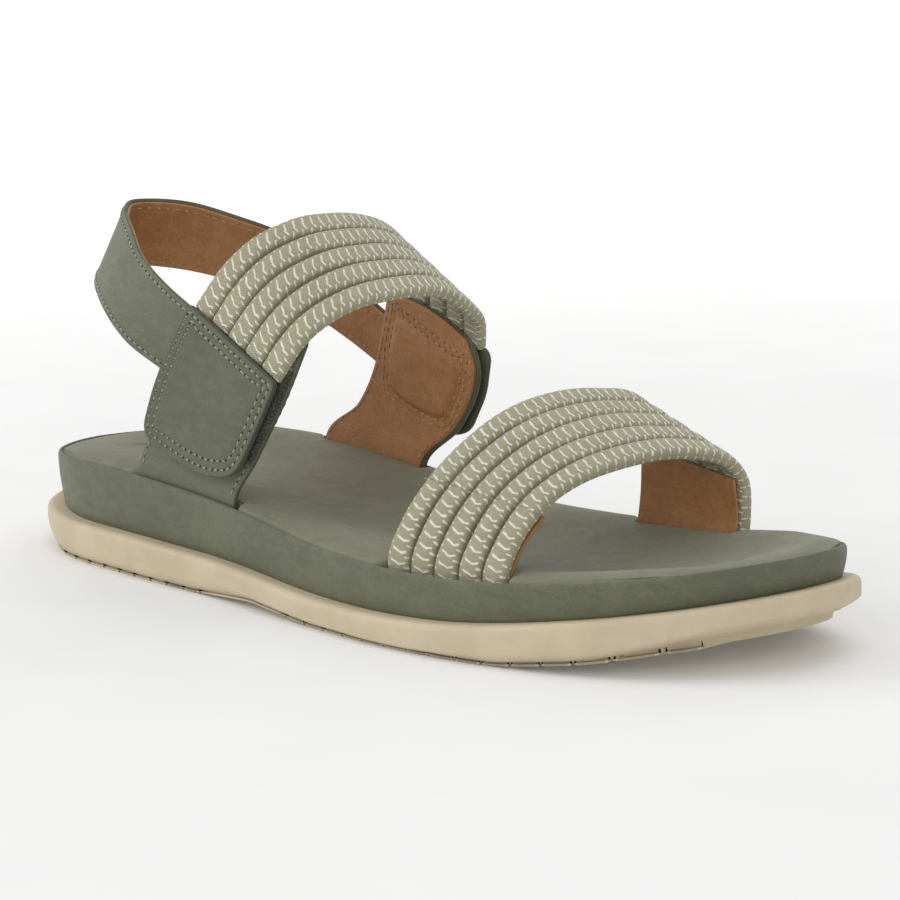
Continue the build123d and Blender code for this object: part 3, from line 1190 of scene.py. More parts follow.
    def wrap(self) -> Any:
        """Leather band round the footbed, leaning in towards its foot.

        Returns:
            The wrap object.
        """
        x = self.line[:, 0]
        low, high = self.height(self.ledge_tops, x) - 0.3, self.height(self.seam_heights, x)
        lean = self.lean(x)
        rows: list[Ring] = []
        for share in np.linspace(0, 1, 7):
            bulge = self.wrap_bulge * math.sin(math.pi * share)
            grow = -lean * (1 - share) ** 1.3 + bulge
            rows.append((grow, low + (high - self.wrap_lip - low) * share))
        for angle in np.linspace(20, 90, 4):
            turn = math.radians(angle)
            grow = -0.8 * (1 - math.cos(turn)) + 0 * x
            rows.append((grow, high - self.wrap_lip + 1.4 * math.sin(turn)))
        rows.append((-1.15 + 0 * x, high - 0.6))
        rows.append((-1.3 + 0 * x, high - self.wrap_lip))
        rows.append((-1.3 - lean * 0.35, high - 5.0))
        rows.append((-1.2 - lean, low))
        points = np.concatenate([np.column_stack([self.ring(grow), height]) for grow, height in rows])
        faces = loops(len(rows), len(self.line), closed=True)
        piece = make_mesh("footbed_wrap_leather", points, faces, self.finishes.green)
        return settle(piece, Slot.GREEN, Body.ROOT, "footbed_wrap")

    def slots(self) -> np.ndarray:
        """How far the cover stands in where a strap goes down beside it.

        Returns:
            Millimetres, one for each place on the seam line.
        """
        x, outer = self.line[:, 0], self.line[:, 1] < 0
        depth = np.zeros(len(x))
        for side, low, high, deep in self.slot_spans:
            inside = eased(x, low - 1.2, low + 0.6) * (1 - eased(x, high - 0.6, high + 1.2))
            depth = np.maximum(depth, deep * inside * (outer == side))
        return depth

    def cover_height(self, spot: np.ndarray, edge: np.ndarray) -> np.ndarray:
        """Height of the footbed's top.

        Args:
            spot: Places on the footbed.
            edge: Distance in from the cover's edge.

        Returns:
            Heights in millimetres.
        """
        x, y = spot[:, 0], spot[:, 1]
        seam = self.height(self.seam_heights, x)
        reach = np.clip(np.abs(y) / 42, 0, 1)
        dish = 2.6 * (1 + np.cos(math.pi * reach)) / 2
        rise = 1.6 + 1.2 * eased(x, 205, 238) + 1.3 * (1 - eased(x, 25, 75))
        return seam - dish + rise * eased(edge, -3.5, 7) * (1 - 0.6 * eased(edge, 8, 26))

    def cover(self) -> Any:
        """Soft leather top of the footbed with a rolled rim.

        Returns:
            The cover object.
        """
        base = -1.0 - self.slots()
        rings = []
        reach = np.linalg.norm(self.ring(base) - self.spine, axis=1)
        for share in np.concatenate([np.linspace(1, 0.16, 16), np.linspace(0.13, 0.03, 6)]):
            spot = self.ring(base, share)
            rings.append((spot, self.cover_height(spot, reach * share)))
        for inside, fall in ((0.9, 0.12), (0.45, 0.4), (0.15, 0.8), (0.05, 1.2), (0.0, 1.8), (0.1, 2.6)):
            spot = self.ring(base - inside)
            rings.append((spot, self.cover_height(spot, np.full(len(spot), inside)) - fall))
        for share in (0.05, 0.3, 1.0):
            spot = self.ring(base, share)
            rings.append((spot, self.cover_height(spot, np.full(len(spot), 20.0)) - 3.0))
        piece = self.solid("footbed_cover", rings, self.finishes.sock)
        return settle(piece, Slot.SOCK, Body.ROOT, "sock_cover")

    def seam_path(self) -> list[Path]:
        """Rows where the cover is sewn to the wrap.

        Returns:
            One path for each stretch between the straps.
        """
        paths = []
        keep = np.where(self.slots() < 0.3)[0]
        for group in np.split(keep, np.where(np.diff(keep) > 1)[0] + 1):
            if len(group) < 5:
                continue
            spot = self.ring(-self.seam_inset)[group]
            height = self.height(self.seam_heights, spot[:, 0]) - self.seam_drop
            up = np.column_stack([self.out[group] * 0.4, np.full(len(group), 0.9)])
            paths.append(Path(np.column_stack([spot, height]), unit(up)))
        return paths

    def build(self) -> None:
        """Make every piece of the sole."""
        self.outsole()
        self.core()
        self.wrap()
        self.cover()


# ---------------------------------------------------------------- straps


@dataclass
class CordStrap:
    """Strap of five flat elastic cords side by side."""

    finishes: Finishes
    name: str
    strip: Strip
    past_ends: float = 0.0
    count: int = 5
    thickness: float = 3.8
    gap: float = 0.5
    pitch: float = 2.9
    end_thickness: float = 3.8
    phase: float = 0.37
    rows: int = 150
    end_fade: float = 14.0
    waves: float = 1.7

    def round_share(self, section: Section, number: int, width: float) -> np.ndarray:
        """Share of the way over a cord's face, from its rear side to its front side.

        Args:
            section: The cord's section.
            number: Which cord, from zero.
            width: Width of the whole strap.

        Returns:
            One number for each point of the section; the back mirrors the face.
        """
        half = len(section.share) // 2
        across = (section.share * self.count - number) * width / self.count
        run = lengths(np.column_stack([across, section.height])[: half + 1])
        face = run / run[-1]
        return np.concatenate([face, face[1:-1][::-1]])

    def cords(self) -> list[Any]:
        """Make the cords, each with its own pattern map.

        Returns:
            One object for each cord.
        """
        frames = self.strip.frames(self.rows, self.past_ends, self.past_ends)
        made = []
        for number in range(self.count):
            section = cord_section(number, self.count, self.thickness, self.gap)
            ends = np.minimum(frames.run - frames.run[0], frames.run[-1] - frames.run)
            sag = -(self.thickness - self.end_thickness) * 0.5 * (1 - eased(ends, 0, self.end_fade))
            along = frames.run / frames.run[-1]
            wave = 0.5 + 0.5 * np.sin(2 * math.pi * (along * self.waves + number * self.phase))
            bundle = eased(along, 0.02, 0.14) * (1 - eased(along, 0.30, 0.46))
            points, faces = sweep(frames, section, sag, taper=1.2, spread=1.0 + 0.7 * wave + 1.6 * bundle)
            centre = frames.foot + frames.across * ((number + 0.5) / self.count * frames.width)[:, None]
            run = lengths(centre) / self.pitch + number * self.phase
            over = self.round_share(section, number, float(frames.width.mean()))
            uv = np.stack(np.broadcast_arrays(run[:, None], over[None]), axis=-1).reshape(-1, 2)
            made.append(make_mesh(f"{self.name}_{number + 1}", points, faces, self.finishes.cord, uv))
        return made


@dataclass
class ToeStrap:
    """Toe strap: five cords and a leather lining at each end."""

    finishes: Finishes
    lining_gap: float = 0.5
    lining: float = 1.0
    row_height: float = 40.5
    row_depth: float = 1.4
    rear: Sequence[Point] = (
        (169.2, -42.3, 17.4), (169.2, -42.7, 25), (169.6, -38.6, 33.5), (170.2, -29, 43.5),
        (171.6, -14, 53.2), (173, 4, 58.5), (174.6, 24, 58.4), (175.8, 38, 54.2), (176.6, 43.2, 42),
        (176.8, 42, 29), (176.9, 39.8, 17.4),
    )
    front: Sequence[Point] = (
        (205.6, -38.2, 17.9), (205.7, -38.2, 24.5), (206.1, -34.6, 31.5), (206.7, -27, 39.4),
        (207.8, -15, 45), (209.4, 3, 47.8), (211.2, 21, 47.3), (212.4, 34.5, 43.4),
        (212.9, 40.3, 37.2), (213.1, 41, 27.5), (213, 39.6, 18.4),
    )

    def build(self) -> list[Path]:
        """Make the strap.

        Returns:
            Stitch rows that show on it.
        """
        strap = CordStrap(self.finishes, "toe_cord_braid", Strip(self.rear, self.front))
        for number, piece in enumerate(strap.cords(), 1):
            settle(piece, Slot.CORD, Body.ROOT, f"toe_cord_{number}")
        under = -strap.thickness - self.lining_gap
        for name, span in (("outer", slice(0, 4)), ("inner", slice(8, 11))):
            frames = narrowed(Strip(self.rear[span], self.front[span]).frames(40), 1.2)
            points, faces = sweep(frames, flat_section(self.lining, 10), under, taper=0.6)
            piece = make_mesh(f"toe_lining_{name}_leather", points, faces, self.finishes.brown)
            settle(piece, Slot.BROWN, Body.ROOT, f"toe_lining_{name}")
        frames = Strip(self.rear, self.front).frames(150)
        middle = frames.foot + frames.across * (frames.width / 2)[:, None]
        row = int(np.argmin(np.abs(middle[:, 2] - self.row_height) + 100 * (middle[:, 1] > 0)))
        shares = np.linspace(0.01, 0.99, 90)
        hump = np.abs(np.sin(shares * strap.count * math.pi)) ** 0.35
        points = frames.foot[row] + frames.across[row] * (shares * frames.width[row])[:, None]
        points = points + frames.normal[row] * (hump * 1.5 - self.row_depth)[:, None]
        return [Path(points, np.repeat(frames.normal[row][None], len(shares), axis=0))]


@dataclass
class Quarters:
    """Leather quarters with their linings, the loop tape and the inner patch."""

    finishes: Finishes
    leather: float = 1.4
    lining: float = 1.0
    tape: float = 1.0
    tape_rows: int = 40
    tape_foot: float = 38.0
    plain_grid: tuple[int, int] = (56, 16)
    fine_grid: tuple[int, int] = (110, 44)
    emboss_rise: float = 0.9
    emboss_edge: Pair = (4.6, 6.4)
    outer_rear: Sequence[Point] = (
        (65.5, -34.4, 24.9), (65.4, -34.9, 30.1), (71, -33.8, 44.9), (79, -32.4, 60.8),
        (85, -31.2, 71.7), (89.5, -27.2, 80),
    )
    outer_front: Sequence[Point] = (
        (107, -36.8, 23.9), (106.8, -37.3, 27.6), (115.7, -37.2, 40.8), (125.6, -36, 56.8),
        (127, -33.3, 63.4), (125.8, -28, 70.5),
    )
    inner_rear: Sequence[Point] = (
        (63, 33.2, 25), (63.6, 33.4, 30.4), (77, 34.1, 42), (83.4, 34.5, 53.5), (86.2, 34.8, 64),
        (88.2, 35.1, 72.4),
    )
    inner_front: Sequence[Point] = (
        (104.5, 31.4, 24), (104.8, 31.7, 28), (117, 33.2, 39.5), (123.4, 33.5, 50),
        (123.8, 33.8, 56.5), (121, 34.1, 62.4),
    )

    def shell(self, name: str, strip: Strip, lift: float, thickness: float, material: Any, dome: float,
              trim: float = 0.0, emboss: Optional["Panel"] = None) -> tuple[Any, Frames]:
        """One sheet of a quarter with a domed top edge.

        Args:
            name: Piece name.
            strip: Band that the sheet lies on.
            lift: Height of its top face.
            thickness: Sheet thickness.
            material: Finish.
            dome: How far the middle of the top edge rises over its corners.
            trim: How much the sheet stands in from its side edges.
            emboss: Panel whose shape shows through as a soft raised field.

        Returns:
            The object and its rows.
        """
        rows, columns = self.fine_grid if emboss else self.plain_grid
        frames = narrowed(strip.frames(rows), trim)
        section = flat_section(thickness, columns)
        points, faces = sweep(frames, section, lift, taper=0.7)
        shares = np.clip(section.share + section.shift / frames.width.mean(), 0, 1)
        near_top = eased(frames.run / frames.run[-1], 0.5, 1.0)
        rise = dome * 4 * shares * (1 - shares)
        points = points.reshape(rows, len(shares), 3)
        points = points + frames.along[:, None] * (near_top[:, None] * rise[None])[..., None]
        if emboss:
            depth = emboss.depth_inside(points.reshape(-1, 3), *self.emboss_edge)
            inner_face = section.height < -thickness * 0.4
            rise = depth.reshape(points.shape[:2]) * -self.emboss_rise * inner_face
            points = points + frames.normal[:, None] * rise[..., None]
        rim = cut_edge(section, thickness, rows, 0.75)
        return make_mesh(name, points.reshape(-1, 3), faces, material, rim=rim), frames

    def build(self) -> tuple[list[Path], list[Path]]:
        """Make both quarters.

        Returns:
            Stitch rows on the green side and on the brown side.
        """
        outer = Strip(self.outer_rear, self.outer_front)
        inner = Strip(self.inner_rear, self.inner_front, -1)
        green, brown = [], []
        patch = inner_patch()
        for name, strip, dome in (("outer_quarter", outer, 0.6), ("inner_quarter", inner, 2.4)):
            piece, rows = self.shell(name + "_leather", strip, 0, self.leather, self.finishes.green, dome)
            settle(piece, Slot.GREEN, Body.ROOT, name)
            lined = (0.6, patch) if name == "inner_quarter" else (1.7, None)
            piece, _ = self.shell(name + "_tan_lining", strip, -self.leather - 0.02, self.lining,
                                  self.finishes.brown, dome, *lined)
            settle(piece, Slot.BROWN, Body.ROOT, name + "_lining")
            seen = cut(rows, 8, len(rows.run) - 1)
            inside = -self.leather - self.lining - 0.05
            green += edge_rows(seen, 1.7, 0.05)
            brown += edge_rows(seen, 1.9, inside)
        tape = Strip(self.outer_rear[1:5], self.outer_front[1:5]).frames(self.tape_rows)
        section = flat_section(self.tape, 8, low=0.55)
        points, _ = sweep(tape, section, self.tape + 0.1, taper=0.5)
        lowest = points.reshape(self.tape_rows, -1, 3)[:, :, 2].min(axis=1)
        tape = cut(tape, int(np.argmax(lowest > self.tape_foot)), self.tape_rows)
        points, faces = sweep(tape, section, self.tape + 0.1, taper=0.5)
        piece = make_mesh("loop_tape_pile", points, faces, self.finishes.loop)
        settle(piece, Slot.LOOP, Body.ROOT, "loop_tape")
        return green, brown


@dataclass(frozen=True)
class Sheet:
    """Flat plane that a panel lies on, in millimetres from the heel."""

    origin: Point
    across: Point
    out: Point

    def point(self, uv: np.ndarray, lift: np.ndarray) -> np.ndarray:
        """Turn places on the plane and lifts into points.

        Args:
            uv: Places on the plane.
            lift: Distance out of it for each place.

        Returns:
            Points in millimetres.
        """
        right, up, out = self.axes()
        flat = np.array(self.origin) + uv[..., :1] * right + uv[..., 1:] * up
        return flat + out * np.asarray(lift)[..., None]

    def axes(self) -> tuple[np.ndarray, np.ndarray, np.ndarray]:
        """Directions across, up and out of the plane."""
        out = unit(np.array(self.out))
        right = unit(np.array(self.across) - out * np.dot(self.across, out))
        return right, np.cross(out, right), out


OUTER_SIDE = Sheet((85, -36.65, 29), (0.9978, -0.0656, 0), (-0.0652, -0.9908, 0.1189))
INNER_SIDE = Sheet((85, 33.5, 29), (0.9998, -0.0205, 0), (-0.0205, -0.999, 0.04))
PATCH_OUTLINE = (
    (4.4, 45), (38.9, 30.8), (37.2, 19.6), (31.4, 9), (25.4, 7), (15.4, 8.6), (6.4, 12), (-0.6, 16.6),
    (0.2, 30),
)


@dataclass
class Panel:
    """Cut leather panel with rounded corners, soft edges and a pressed stitch line."""

    outline: Sequence[Pair]
    plane: Sheet
    lift: float
    thickness: float
    side: int = 1
    corner: float = 2.0
    corners: Sequence[float] = ()
    pillow: float = 0.5
    groove: float = 0.0
    groove_reach: float = 0.55
    field: Sequence[float] = (1.2, 1.7, 2.2, 2.9, 3.6, 4.1, 4.6, 5.3)
    crown: Sequence[float] = (0.1, 0.2, 0.35, 0.5, 0.65, 0.8, 0.93)

    def rim(self, samples: int = 220) -> np.ndarray:
        """Closed outline with its corners rounded.

        Args:
            samples: Points round the outline.

        Returns:
            Places on the plane.
        """
        corners = np.array(self.outline, float)
        pieces = []
        for index, here in enumerate(corners):
            before, after = corners[index - 1], corners[(index + 1) % len(corners)]
            back, forth = unit(before - here), unit(after - here)
            radius = self.corners[index] if self.corners else self.corner
            sides = (np.linalg.norm(other - here) * 0.45 for other in (before, after))
            reach = min(radius * 1.6, *sides)
            start, end = here + back * reach, here + forth * reach
            t = np.linspace(0, 1, 9)[:, None]
            pieces.append((1 - t) ** 2 * start + 2 * t * (1 - t) * here + t**2 * end)
        return evenly(np.vstack(pieces + [pieces[0][:1]]), samples, last=False)

    def inset(self, ring: np.ndarray, distance: float) -> np.ndarray:
        """Outline moved inwards by a distance.

        Args:
            ring: Outline.
            distance: Millimetres inwards.

        Returns:
            The smaller outline.
        """
        along = unit(np.roll(ring, -1, axis=0) - np.roll(ring, 1, axis=0))
        inward = np.stack([-along[:, 1], along[:, 0]], axis=1)
        area = (ring[:, 0] * np.roll(ring[:, 1], -1) - np.roll(ring[:, 0], -1) * ring[:, 1]).sum()
        to_middle = ring.mean(axis=0) - ring
        reach = (to_middle * inward).sum(axis=1) * np.sign(area)
        return ring + to_middle * (distance / np.maximum(reach, 1.0))[:, None]

    def make(self, name: str, material: Any, rim_dark: float = 0.8) -> Any:
        """Build the panel.

        Args:
            name: Piece name.
            material: Finish.
            rim_dark: How strongly the cut edge shows.

        Returns:
            The object.
        """
        ring = self.rim()
        middle = ring.mean(axis=0)
        half = self.thickness / 2
        rings, lifts, rims = [], [], []
        for turn in np.linspace(-math.pi / 2, math.pi / 2, 9):
            rings.append(self.inset(ring, half * 0.8 * (1 - math.cos(turn))))
            lifts.append(half + half * math.sin(turn))
            rims.append(rim_dark * (abs(turn) < 1.0))
        for distance in self.field:
            dips = (math.exp(-(((distance - row) / self.groove_reach) ** 2)) for row in PRESSED_ROWS)
            press = self.groove * sum(dips)
            rings.append(self.inset(ring, distance))
            lifts.append(self.thickness - press)
            rims.append(0.0)
        inner = rings[-1]
        for share in self.crown:
            rings.append(inner * (1 - share) + middle * share)
            lifts.append(self.thickness + self.pillow * eased(share, 0, 0.8))
            rims.append(0.0)
        rows, count = len(rings), len(ring)
        height = np.repeat(np.array(lifts)[:, None], count, axis=1)
        points = self.plane.point(np.array(rings), self.side * (self.lift + height))
        faces = loops(rows, count)
        faces.append(tuple(range((rows - 1) * count, rows * count)))
        faces.append(tuple(range(count))[::-1])
        return make_mesh(name, points.reshape(-1, 3), faces, material, rim=np.repeat(rims, count))

    def depth_inside(self, points: np.ndarray, low: float, high: float) -> np.ndarray:
        """How deep inside the outline points lie, seen square to the plane.

        Args:
            points: Points in millimetres.
            low: Distance inside the edge where the answer leaves 0.
            high: Distance where it reaches 1.

        Returns:
            One number for each point.
        """
        right, up, _ = self.plane.axes()
        local = points - np.array(self.plane.origin)
        uv = np.stack([local @ right, local @ up], axis=1)
        ring = self.rim(160)
        after = np.roll(ring, -1, axis=0)
        away = np.linalg.norm(uv[:, None] - ring[None], axis=2).min(axis=1)
        above = (ring[None, :, 1] > uv[:, None, 1]) != (after[None, :, 1] > uv[:, None, 1])
        gain = after - ring
        slope = gain[:, 0] / np.where(gain[:, 1] == 0, TINY, gain[:, 1])
        crossing = uv[:, None, 0] < ring[None, :, 0] + slope[None] * (uv[:, None, 1] - ring[None, :, 1])
        inside = (above & crossing).sum(axis=1) % 2 == 1
        return eased(np.where(inside, away, 0.0), low, high)

    def row(self, distance: float, over: float = 0.05) -> Path:
        """Stitch row at a distance in from the edge.

        Args:
            distance: Millimetres in from the edge.
            over: Height of the stitches over the leather.

        Returns:
            The closed path.
        """
        ring = self.inset(self.rim(), distance)
        lift = self.side * (self.lift + self.thickness + over - self.groove)
        points = self.plane.point(ring, np.full(len(ring), lift))
        return Path(points, np.tile(self.plane.axes()[2] * self.side, (len(ring), 1)), True)


def inner_patch() -> Panel:
    """Patch that covers the strap's end on the inner quarter."""
    return Panel(PATCH_OUTLINE, INNER_SIDE, InstepStrap.lift, 1.4, -1)


@dataclass
class InstepStrap:
    """Instep strap of five cords, with the closure tab and its hook tape at the outer end."""

    finishes: Finishes
    rear: Sequence[Point] = (
        (89.4, -34.4, 78.8), (92.6, -30.3, 85.8), (96, -23.4, 93), (98, -12, 97.6), (98.2, 2, 98.5),
        (97.3, 15, 97.1), (94.4, 29.2, 91.7), (90.6, 38.1, 83), (88.6, 39.6, 76),
    )
    front: Sequence[Point] = (
        (125.3, -38.4, 63), (127.2, -35.9, 67.2), (129.9, -30.2, 73.6), (132, -18, 79.2),
        (132.2, 1, 81), (131, 15, 79.7), (127.2, 29.8, 72.6), (123.6, 37.4, 66.6), (122.4, 38.9, 61.6),
    )
    tab_outline: Sequence[Pair] = (
        (2.7, 48.5), (41.9, 32.1), (35.1, 19.3), (27.5, 6.6), (15.1, 5.2), (-0.1, 8), (-14.2, 12.6),
        (-9.6, 27.6),
    )
    tab_corners: Sequence[float] = (1.6, 1.4, 6, 4.0, 6, 6, 3.2, 6)
    lift: float = 2.6
    tab_bend: Pair = (1.0, 12.0)
    tab_bend_lift: float = 3.4
    cord_bend: Span = ((106.3, 38.9, 70.0), (110.6, 30.5, 81.5))
    hook_outline: Sequence[Pair] = ((14, 38), (37.5, 28.5), (31, 16.5), (24.5, 8.5), (14, 8))

    def cords(self) -> None:
        """Make the cords."""
        strap = CordStrap(self.finishes, "instep_cord_braid", Strip(self.rear, self.front), 1.5,
                          end_thickness=2.2)
        bodies = (Body.ROOT, Body.INSTEP)
        for number, piece in enumerate(strap.cords(), 1):
            bend_between(piece, Slot.CORD, bodies, self.cord_bend, f"instep_cord_{number}")

    def tab_span(self) -> tuple[np.ndarray, np.ndarray]:
        """Start and end of the tab's bend, going down from its top edge.

        Returns:
            Two points in millimetres.
        """
        top = np.array(self.tab_outline[:2], float)
        edge = unit(top[1] - top[0])
        down = np.array([edge[1], -edge[0]])
        spots = top.mean(axis=0) + np.outer(self.tab_bend, down)
        return tuple(OUTER_SIDE.point(spots, np.full(2, self.tab_bend_lift)))

    def closure(self, tree: StitchTree) -> None:
        """Make the tab, its hook tape and its double stitching.

        Args:
            tree: Tree that sews the double row.
        """
        tab = Panel(self.tab_outline, OUTER_SIDE, self.lift, 1.6, corners=self.tab_corners, pillow=0.3,
                    groove=0.28)
        hook = Panel(self.hook_outline, OUTER_SIDE, self.lift / 2, self.lift / 2, pillow=0.0)
        bodies, span = (Body.INSTEP, Body.TAB), self.tab_span()
        piece = tab.make("closure_tab_leather", self.finishes.tab)
        bend_between(piece, Slot.GREEN, bodies, span, "closure_tab")
        piece = hook.make("hook_tape_pad", self.finishes.hook, 0.0)
        bend_between(piece, Slot.HOOK, bodies, span, "hook_tape")
        rows = [tab.row(distance) for distance in PRESSED_ROWS]
        bend_between(sew("tab_stitches", rows, tree, TAB_STITCH), Slot.GREEN, bodies, span)

    def patch(self) -> list[Path]:
        """Make the patch on the inner quarter.

        Returns:
            Its stitch rows.
        """
        patch = replace(inner_patch(), pillow=0.0, groove=0.25)
        piece = patch.make("inner_patch_leather", self.finishes.green)
        settle(piece, Slot.GREEN, Body.ROOT, "inner_patch")
        return [patch.row(distance) for distance in PRESSED_ROWS]

    def lining_rows(self, target: Any) -> list[Path]:
        """Stitch rows of the patch where they come through the lining.

        Args:
            target: Lining object that the rows lie on.

        Returns:
            The rows, laid on the lining's inner face.
        """
        tree = BVHTree.FromObject(target, bpy.context.evaluated_depsgraph_get())
        patch = inner_patch()
        out = Vector(INNER_SIDE.axes()[2])
        paths = []
        for distance in LINING_ROWS:
            ring = patch.inset(patch.rim(), distance)
            points, ups = [], []
            for spot in place(INNER_SIDE.point(ring, np.full(len(ring), 14.0))):
                hit, normal, _, _ = tree.ray_cast(Vector(spot), -out, 0.03)
                if hit is not None and normal.dot(out) > 0.6:
                    points.append(np.array(hit + normal * 0.00005) / MM + ORIGIN)
                    ups.append(np.array(normal))
            if len(points) > 10:
                paths.append(Path(np.array(points), np.array(ups)))
        return paths


@dataclass
class HeelSling:
    """Leather strap round the heel with a tan lining and stitched edges."""

    finishes: Finishes
    leather: float = 1.1
    lining: float = 0.8
    rows: int = 170
    bend: Span = ((92.0, 0, 62), (74.0, 0, 66))
    upper: Sequence[Point] = (
        (91, -33.8, 74.6), (78, -32.3, 79.3), (60, -27.3, 85.8), (44, -18.6, 92), (31, -10, 95.4),
        (23.1, 0, 96.2), (31, 10, 95.5), (44, 18.6, 91.6), (60, 28.5, 84), (73, 34, 74.4),
        (84, 37.2, 66.6), (92, 36.9, 62.4),
    )
    lower: Sequence[Point] = (
        (91, -36.35, 53.4), (78, -34.9, 58), (60, -33.8, 64.4), (38, -25.3, 72.6), (22.5, -13.8, 76.2),
        (14.1, 0, 77.3), (22.5, 13.8, 75.8), (38, 25.3, 71.6), (60, 34, 63), (70, 36, 58),
        (80, 36.8, 52.8), (91, 36.3, 48),
    )

    def build(self, tree: StitchTree, brown_tree: StitchTree) -> None:
        """Make the sling, its lining and the stitches on both faces.

        Args:
            tree: Tree that sews the green side.
            brown_tree: Tree that sews the lining.
        """
        frames = Strip(self.lower, self.upper).frames(self.rows)
        bodies, span = (Body.ROOT, Body.SLING), self.bend
        section = flat_section(self.leather, 14)
        points, faces = sweep(frames, section, 0.0, taper=0.8)
        rim = cut_edge(section, self.leather, self.rows, 0.7)
        piece = make_mesh("heel_sling_leather", points, faces, self.finishes.green, rim=rim)
        bend_between(piece, Slot.GREEN, bodies, span, "heel_sling")
        lining = flat_section(self.lining, 12)
        points, faces = sweep(narrowed(frames, 0.55), lining, -self.leather - 0.02, taper=0.6)
        piece = make_mesh("heel_sling_tan_lining", points, faces, self.finishes.brown)
        bend_between(piece, Slot.BROWN, bodies, span, "heel_sling_lining")
        shown = cut(frames, 2, self.rows - 2)
        piece = sew("sling_stitches", edge_rows(shown, 1.7, 0.05), tree, SLING_STITCH)
        bend_between(piece, Slot.GREEN, bodies, span)
        rows = edge_rows(shown, 2.2, -self.leather - self.lining - 0.06)
        piece = sew("sling_lining_stitches", rows, brown_tree, SLING_LINING_STITCH)
        bend_between(piece, Slot.BROWN, bodies, span)


# ---------------------------------------------------------------- studio


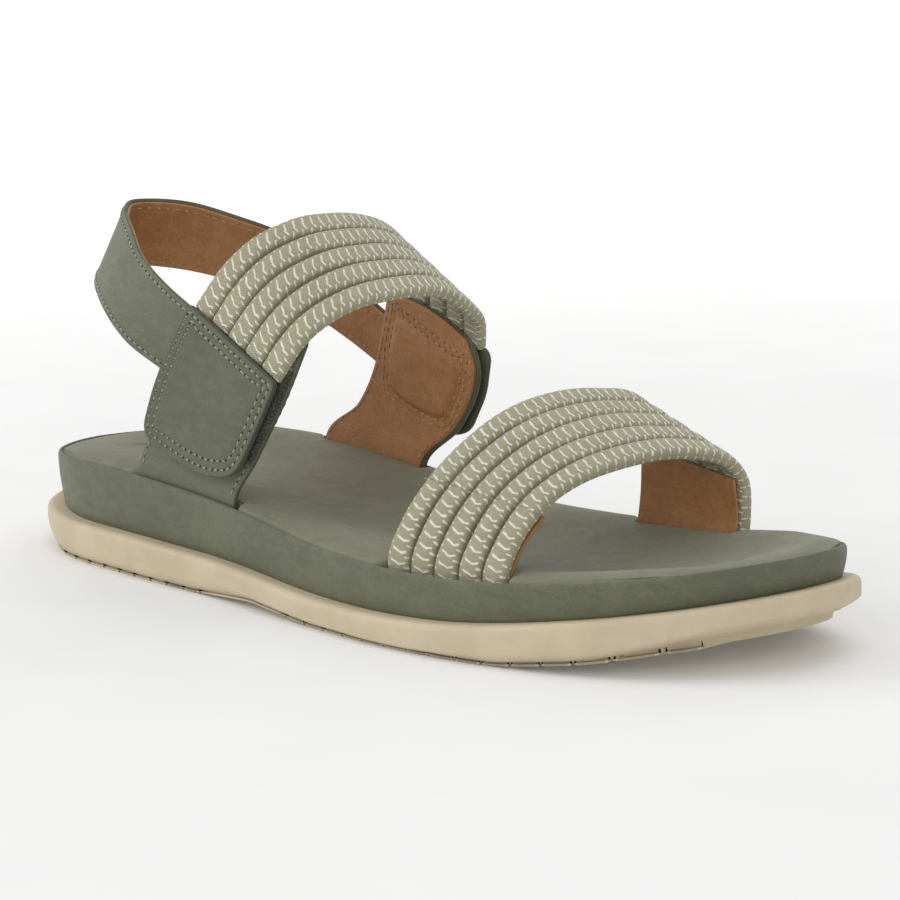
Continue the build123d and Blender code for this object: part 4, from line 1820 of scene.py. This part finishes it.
@dataclass
class Studio:
    """Camera, pale floor and soft lights: lengths in millimetres for the camera, metres for the rest."""

    aim: Point = (121.93, 23.71, 35.35)
    azimuth: float = 46.88
    elevation: float = 10.57
    roll: float = -0.94
    distance: float = 967.92
    lens: float = 148.4
    floor_reach: float = 14.0
    sky: float = 0.6
    lights: Sequence[tuple[str, Point, float, float]] = (
        ("key", (-1.2, -0.9, 0.9), 0.9, 8.0), ("front", (1.1, -1.3, 0.8), 1.2, 5.5),
        ("top", (0.1, 0.3, 1.6), 1.4, 5.0), ("back", (-0.6, 1.4, 0.9), 1.0, 3.0),
    )

    def camera(self) -> None:
        """Create the camera and make it the scene's."""
        azimuth, elevation, roll = (math.radians(a) for a in (self.azimuth, self.elevation, self.roll))
        level = math.cos(elevation)
        back = Vector((math.sin(azimuth) * level, -math.cos(azimuth) * level, math.sin(elevation)))
        right = Vector((0, 0, 1)).cross(back).normalized()
        up = back.cross(right)
        turned_right = right * math.cos(roll) + up * math.sin(roll)
        turned_up = up * math.cos(roll) - right * math.sin(roll)
        data = bpy.data.cameras.new("camera")
        data.sensor_width = 36.0
        data.lens = self.lens
        data.clip_start = 0.01
        camera = link("camera", data)
        turn = Matrix((turned_right, turned_up, back)).transposed().to_4x4()
        spot = Vector(place(np.array(self.aim))) + back * self.distance * MM
        camera.matrix_world = Matrix.Translation(spot) @ turn
        bpy.context.scene.camera = camera

    def floor(self) -> None:
        """Lay the pale floor."""
        mesh = bpy.data.meshes.new("floor")
        reach = self.floor_reach
        corners = [(-reach, -reach, 0), (reach, -reach, 0), (reach, reach, 0), (-reach, reach, 0)]
        mesh.from_pydata(corners, [], [(0, 1, 2, 3)])
        shader = Shader("pale_floor")
        tone = shader.step(shader.noise(60, 2), 0.3, 0.7, 0.0, 1.0)
        colour = shader.mix(tone, (0.86, 0.86, 0.855), (0.88, 0.88, 0.875))
        # Painted light: the floor glows, more the farther it is from the sandal.
        away = shader.add("VectorMath", {0: shader.object}, operation="LENGTH").outputs["Value"]
        shader.surface.inputs["Emission Color"].default_value = (1.0, 1.0, 1.0, 1.0)
        glow = shader.step(away, 0.2, 1.3, 0.06, 0.5)
        feed(shader.tree, shader.surface.inputs["Emission Strength"], glow)
        mesh.materials.append(shader.finish(colour, 0.9, specular_ior_level=0.1))
        link("floor", mesh)

    def light(self, name: str, spot: Point, size: float, power: float) -> None:
        """Add a soft square light that faces the sandal.

        Args:
            name: Name of the light.
            spot: Its place in metres.
            size: Side of the square in metres.
            power: Power in watts.
        """
        data = bpy.data.lights.new(name, "AREA")
        data.shape = "SQUARE"
        data.size = size
        data.energy = power
        light = link(name, data)
        light.location = spot
        direction = Vector((0, 0, 0.04)) - Vector(spot)
        light.rotation_euler = direction.to_track_quat("-Z", "Y").to_euler()

    def build(self) -> None:
        """Set up the whole studio."""
        self.camera()
        self.floor()
        world = bpy.data.worlds.new("studio")
        world.use_nodes = True
        sky = world.node_tree.nodes["Background"]
        sky.inputs[0].default_value = (1.0, 1.0, 1.0, 1.0)
        sky.inputs[1].default_value = self.sky
        bpy.context.scene.world = world
        bpy.context.scene.view_settings.view_transform = "Standard"
        for light in self.lights:
            self.light(*light)


def dress_hidden_nodes(finishes: Finishes) -> None:
    """Give the frame's own inner layers their finishes.

    Args:
        finishes: Finishes of the sandal.
    """
    for node, material in (("insole_board", finishes.board), ("footbed_foam", finishes.foam)):
        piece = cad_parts[node]
        piece.data.materials.clear()
        piece.data.materials.append(material)


def main() -> None:
    """Build the sandal piece by piece and then the studio."""
    logging.basicConfig(level=logging.INFO, format="%(message)s")
    finishes = Finishes()
    green_tree = StitchTree("sage_stitches", finishes.thread, finishes.hole)
    brown_tree = StitchTree("tan_stitches", finishes.brown_thread, finishes.hole)
    dark_tree = StitchTree("seam_stitches", finishes.dark_thread, finishes.hole)
    sole = Sole(finishes)
    sole.build()
    settle(sew("seam_whip_stitches", sole.seam_path(), dark_tree, SEAM_STITCH), Slot.SOCK, Body.ROOT)
    toe_rows = ToeStrap(finishes).build()
    green_rows, brown_rows = Quarters(finishes).build()
    instep = InstepStrap(finishes)
    instep.cords()
    green_rows += instep.patch()
    brown_rows += instep.lining_rows(bpy.data.objects["inner_quarter_tan_lining"])
    instep.closure(green_tree)
    settle(sew("quarter_stitches", green_rows, green_tree, QUARTER_STITCH), Slot.GREEN, Body.ROOT)
    settle(sew("toe_strap_stitches", toe_rows, green_tree, TOE_STITCH), Slot.CORD, Body.ROOT)
    settle(sew("lining_stitches", brown_rows, brown_tree, LINING_STITCH), Slot.BROWN, Body.ROOT)
    HeelSling(finishes).build(green_tree, brown_tree)
    dress_hidden_nodes(finishes)
    Studio().build()


if __name__ == "__main__":
    main()
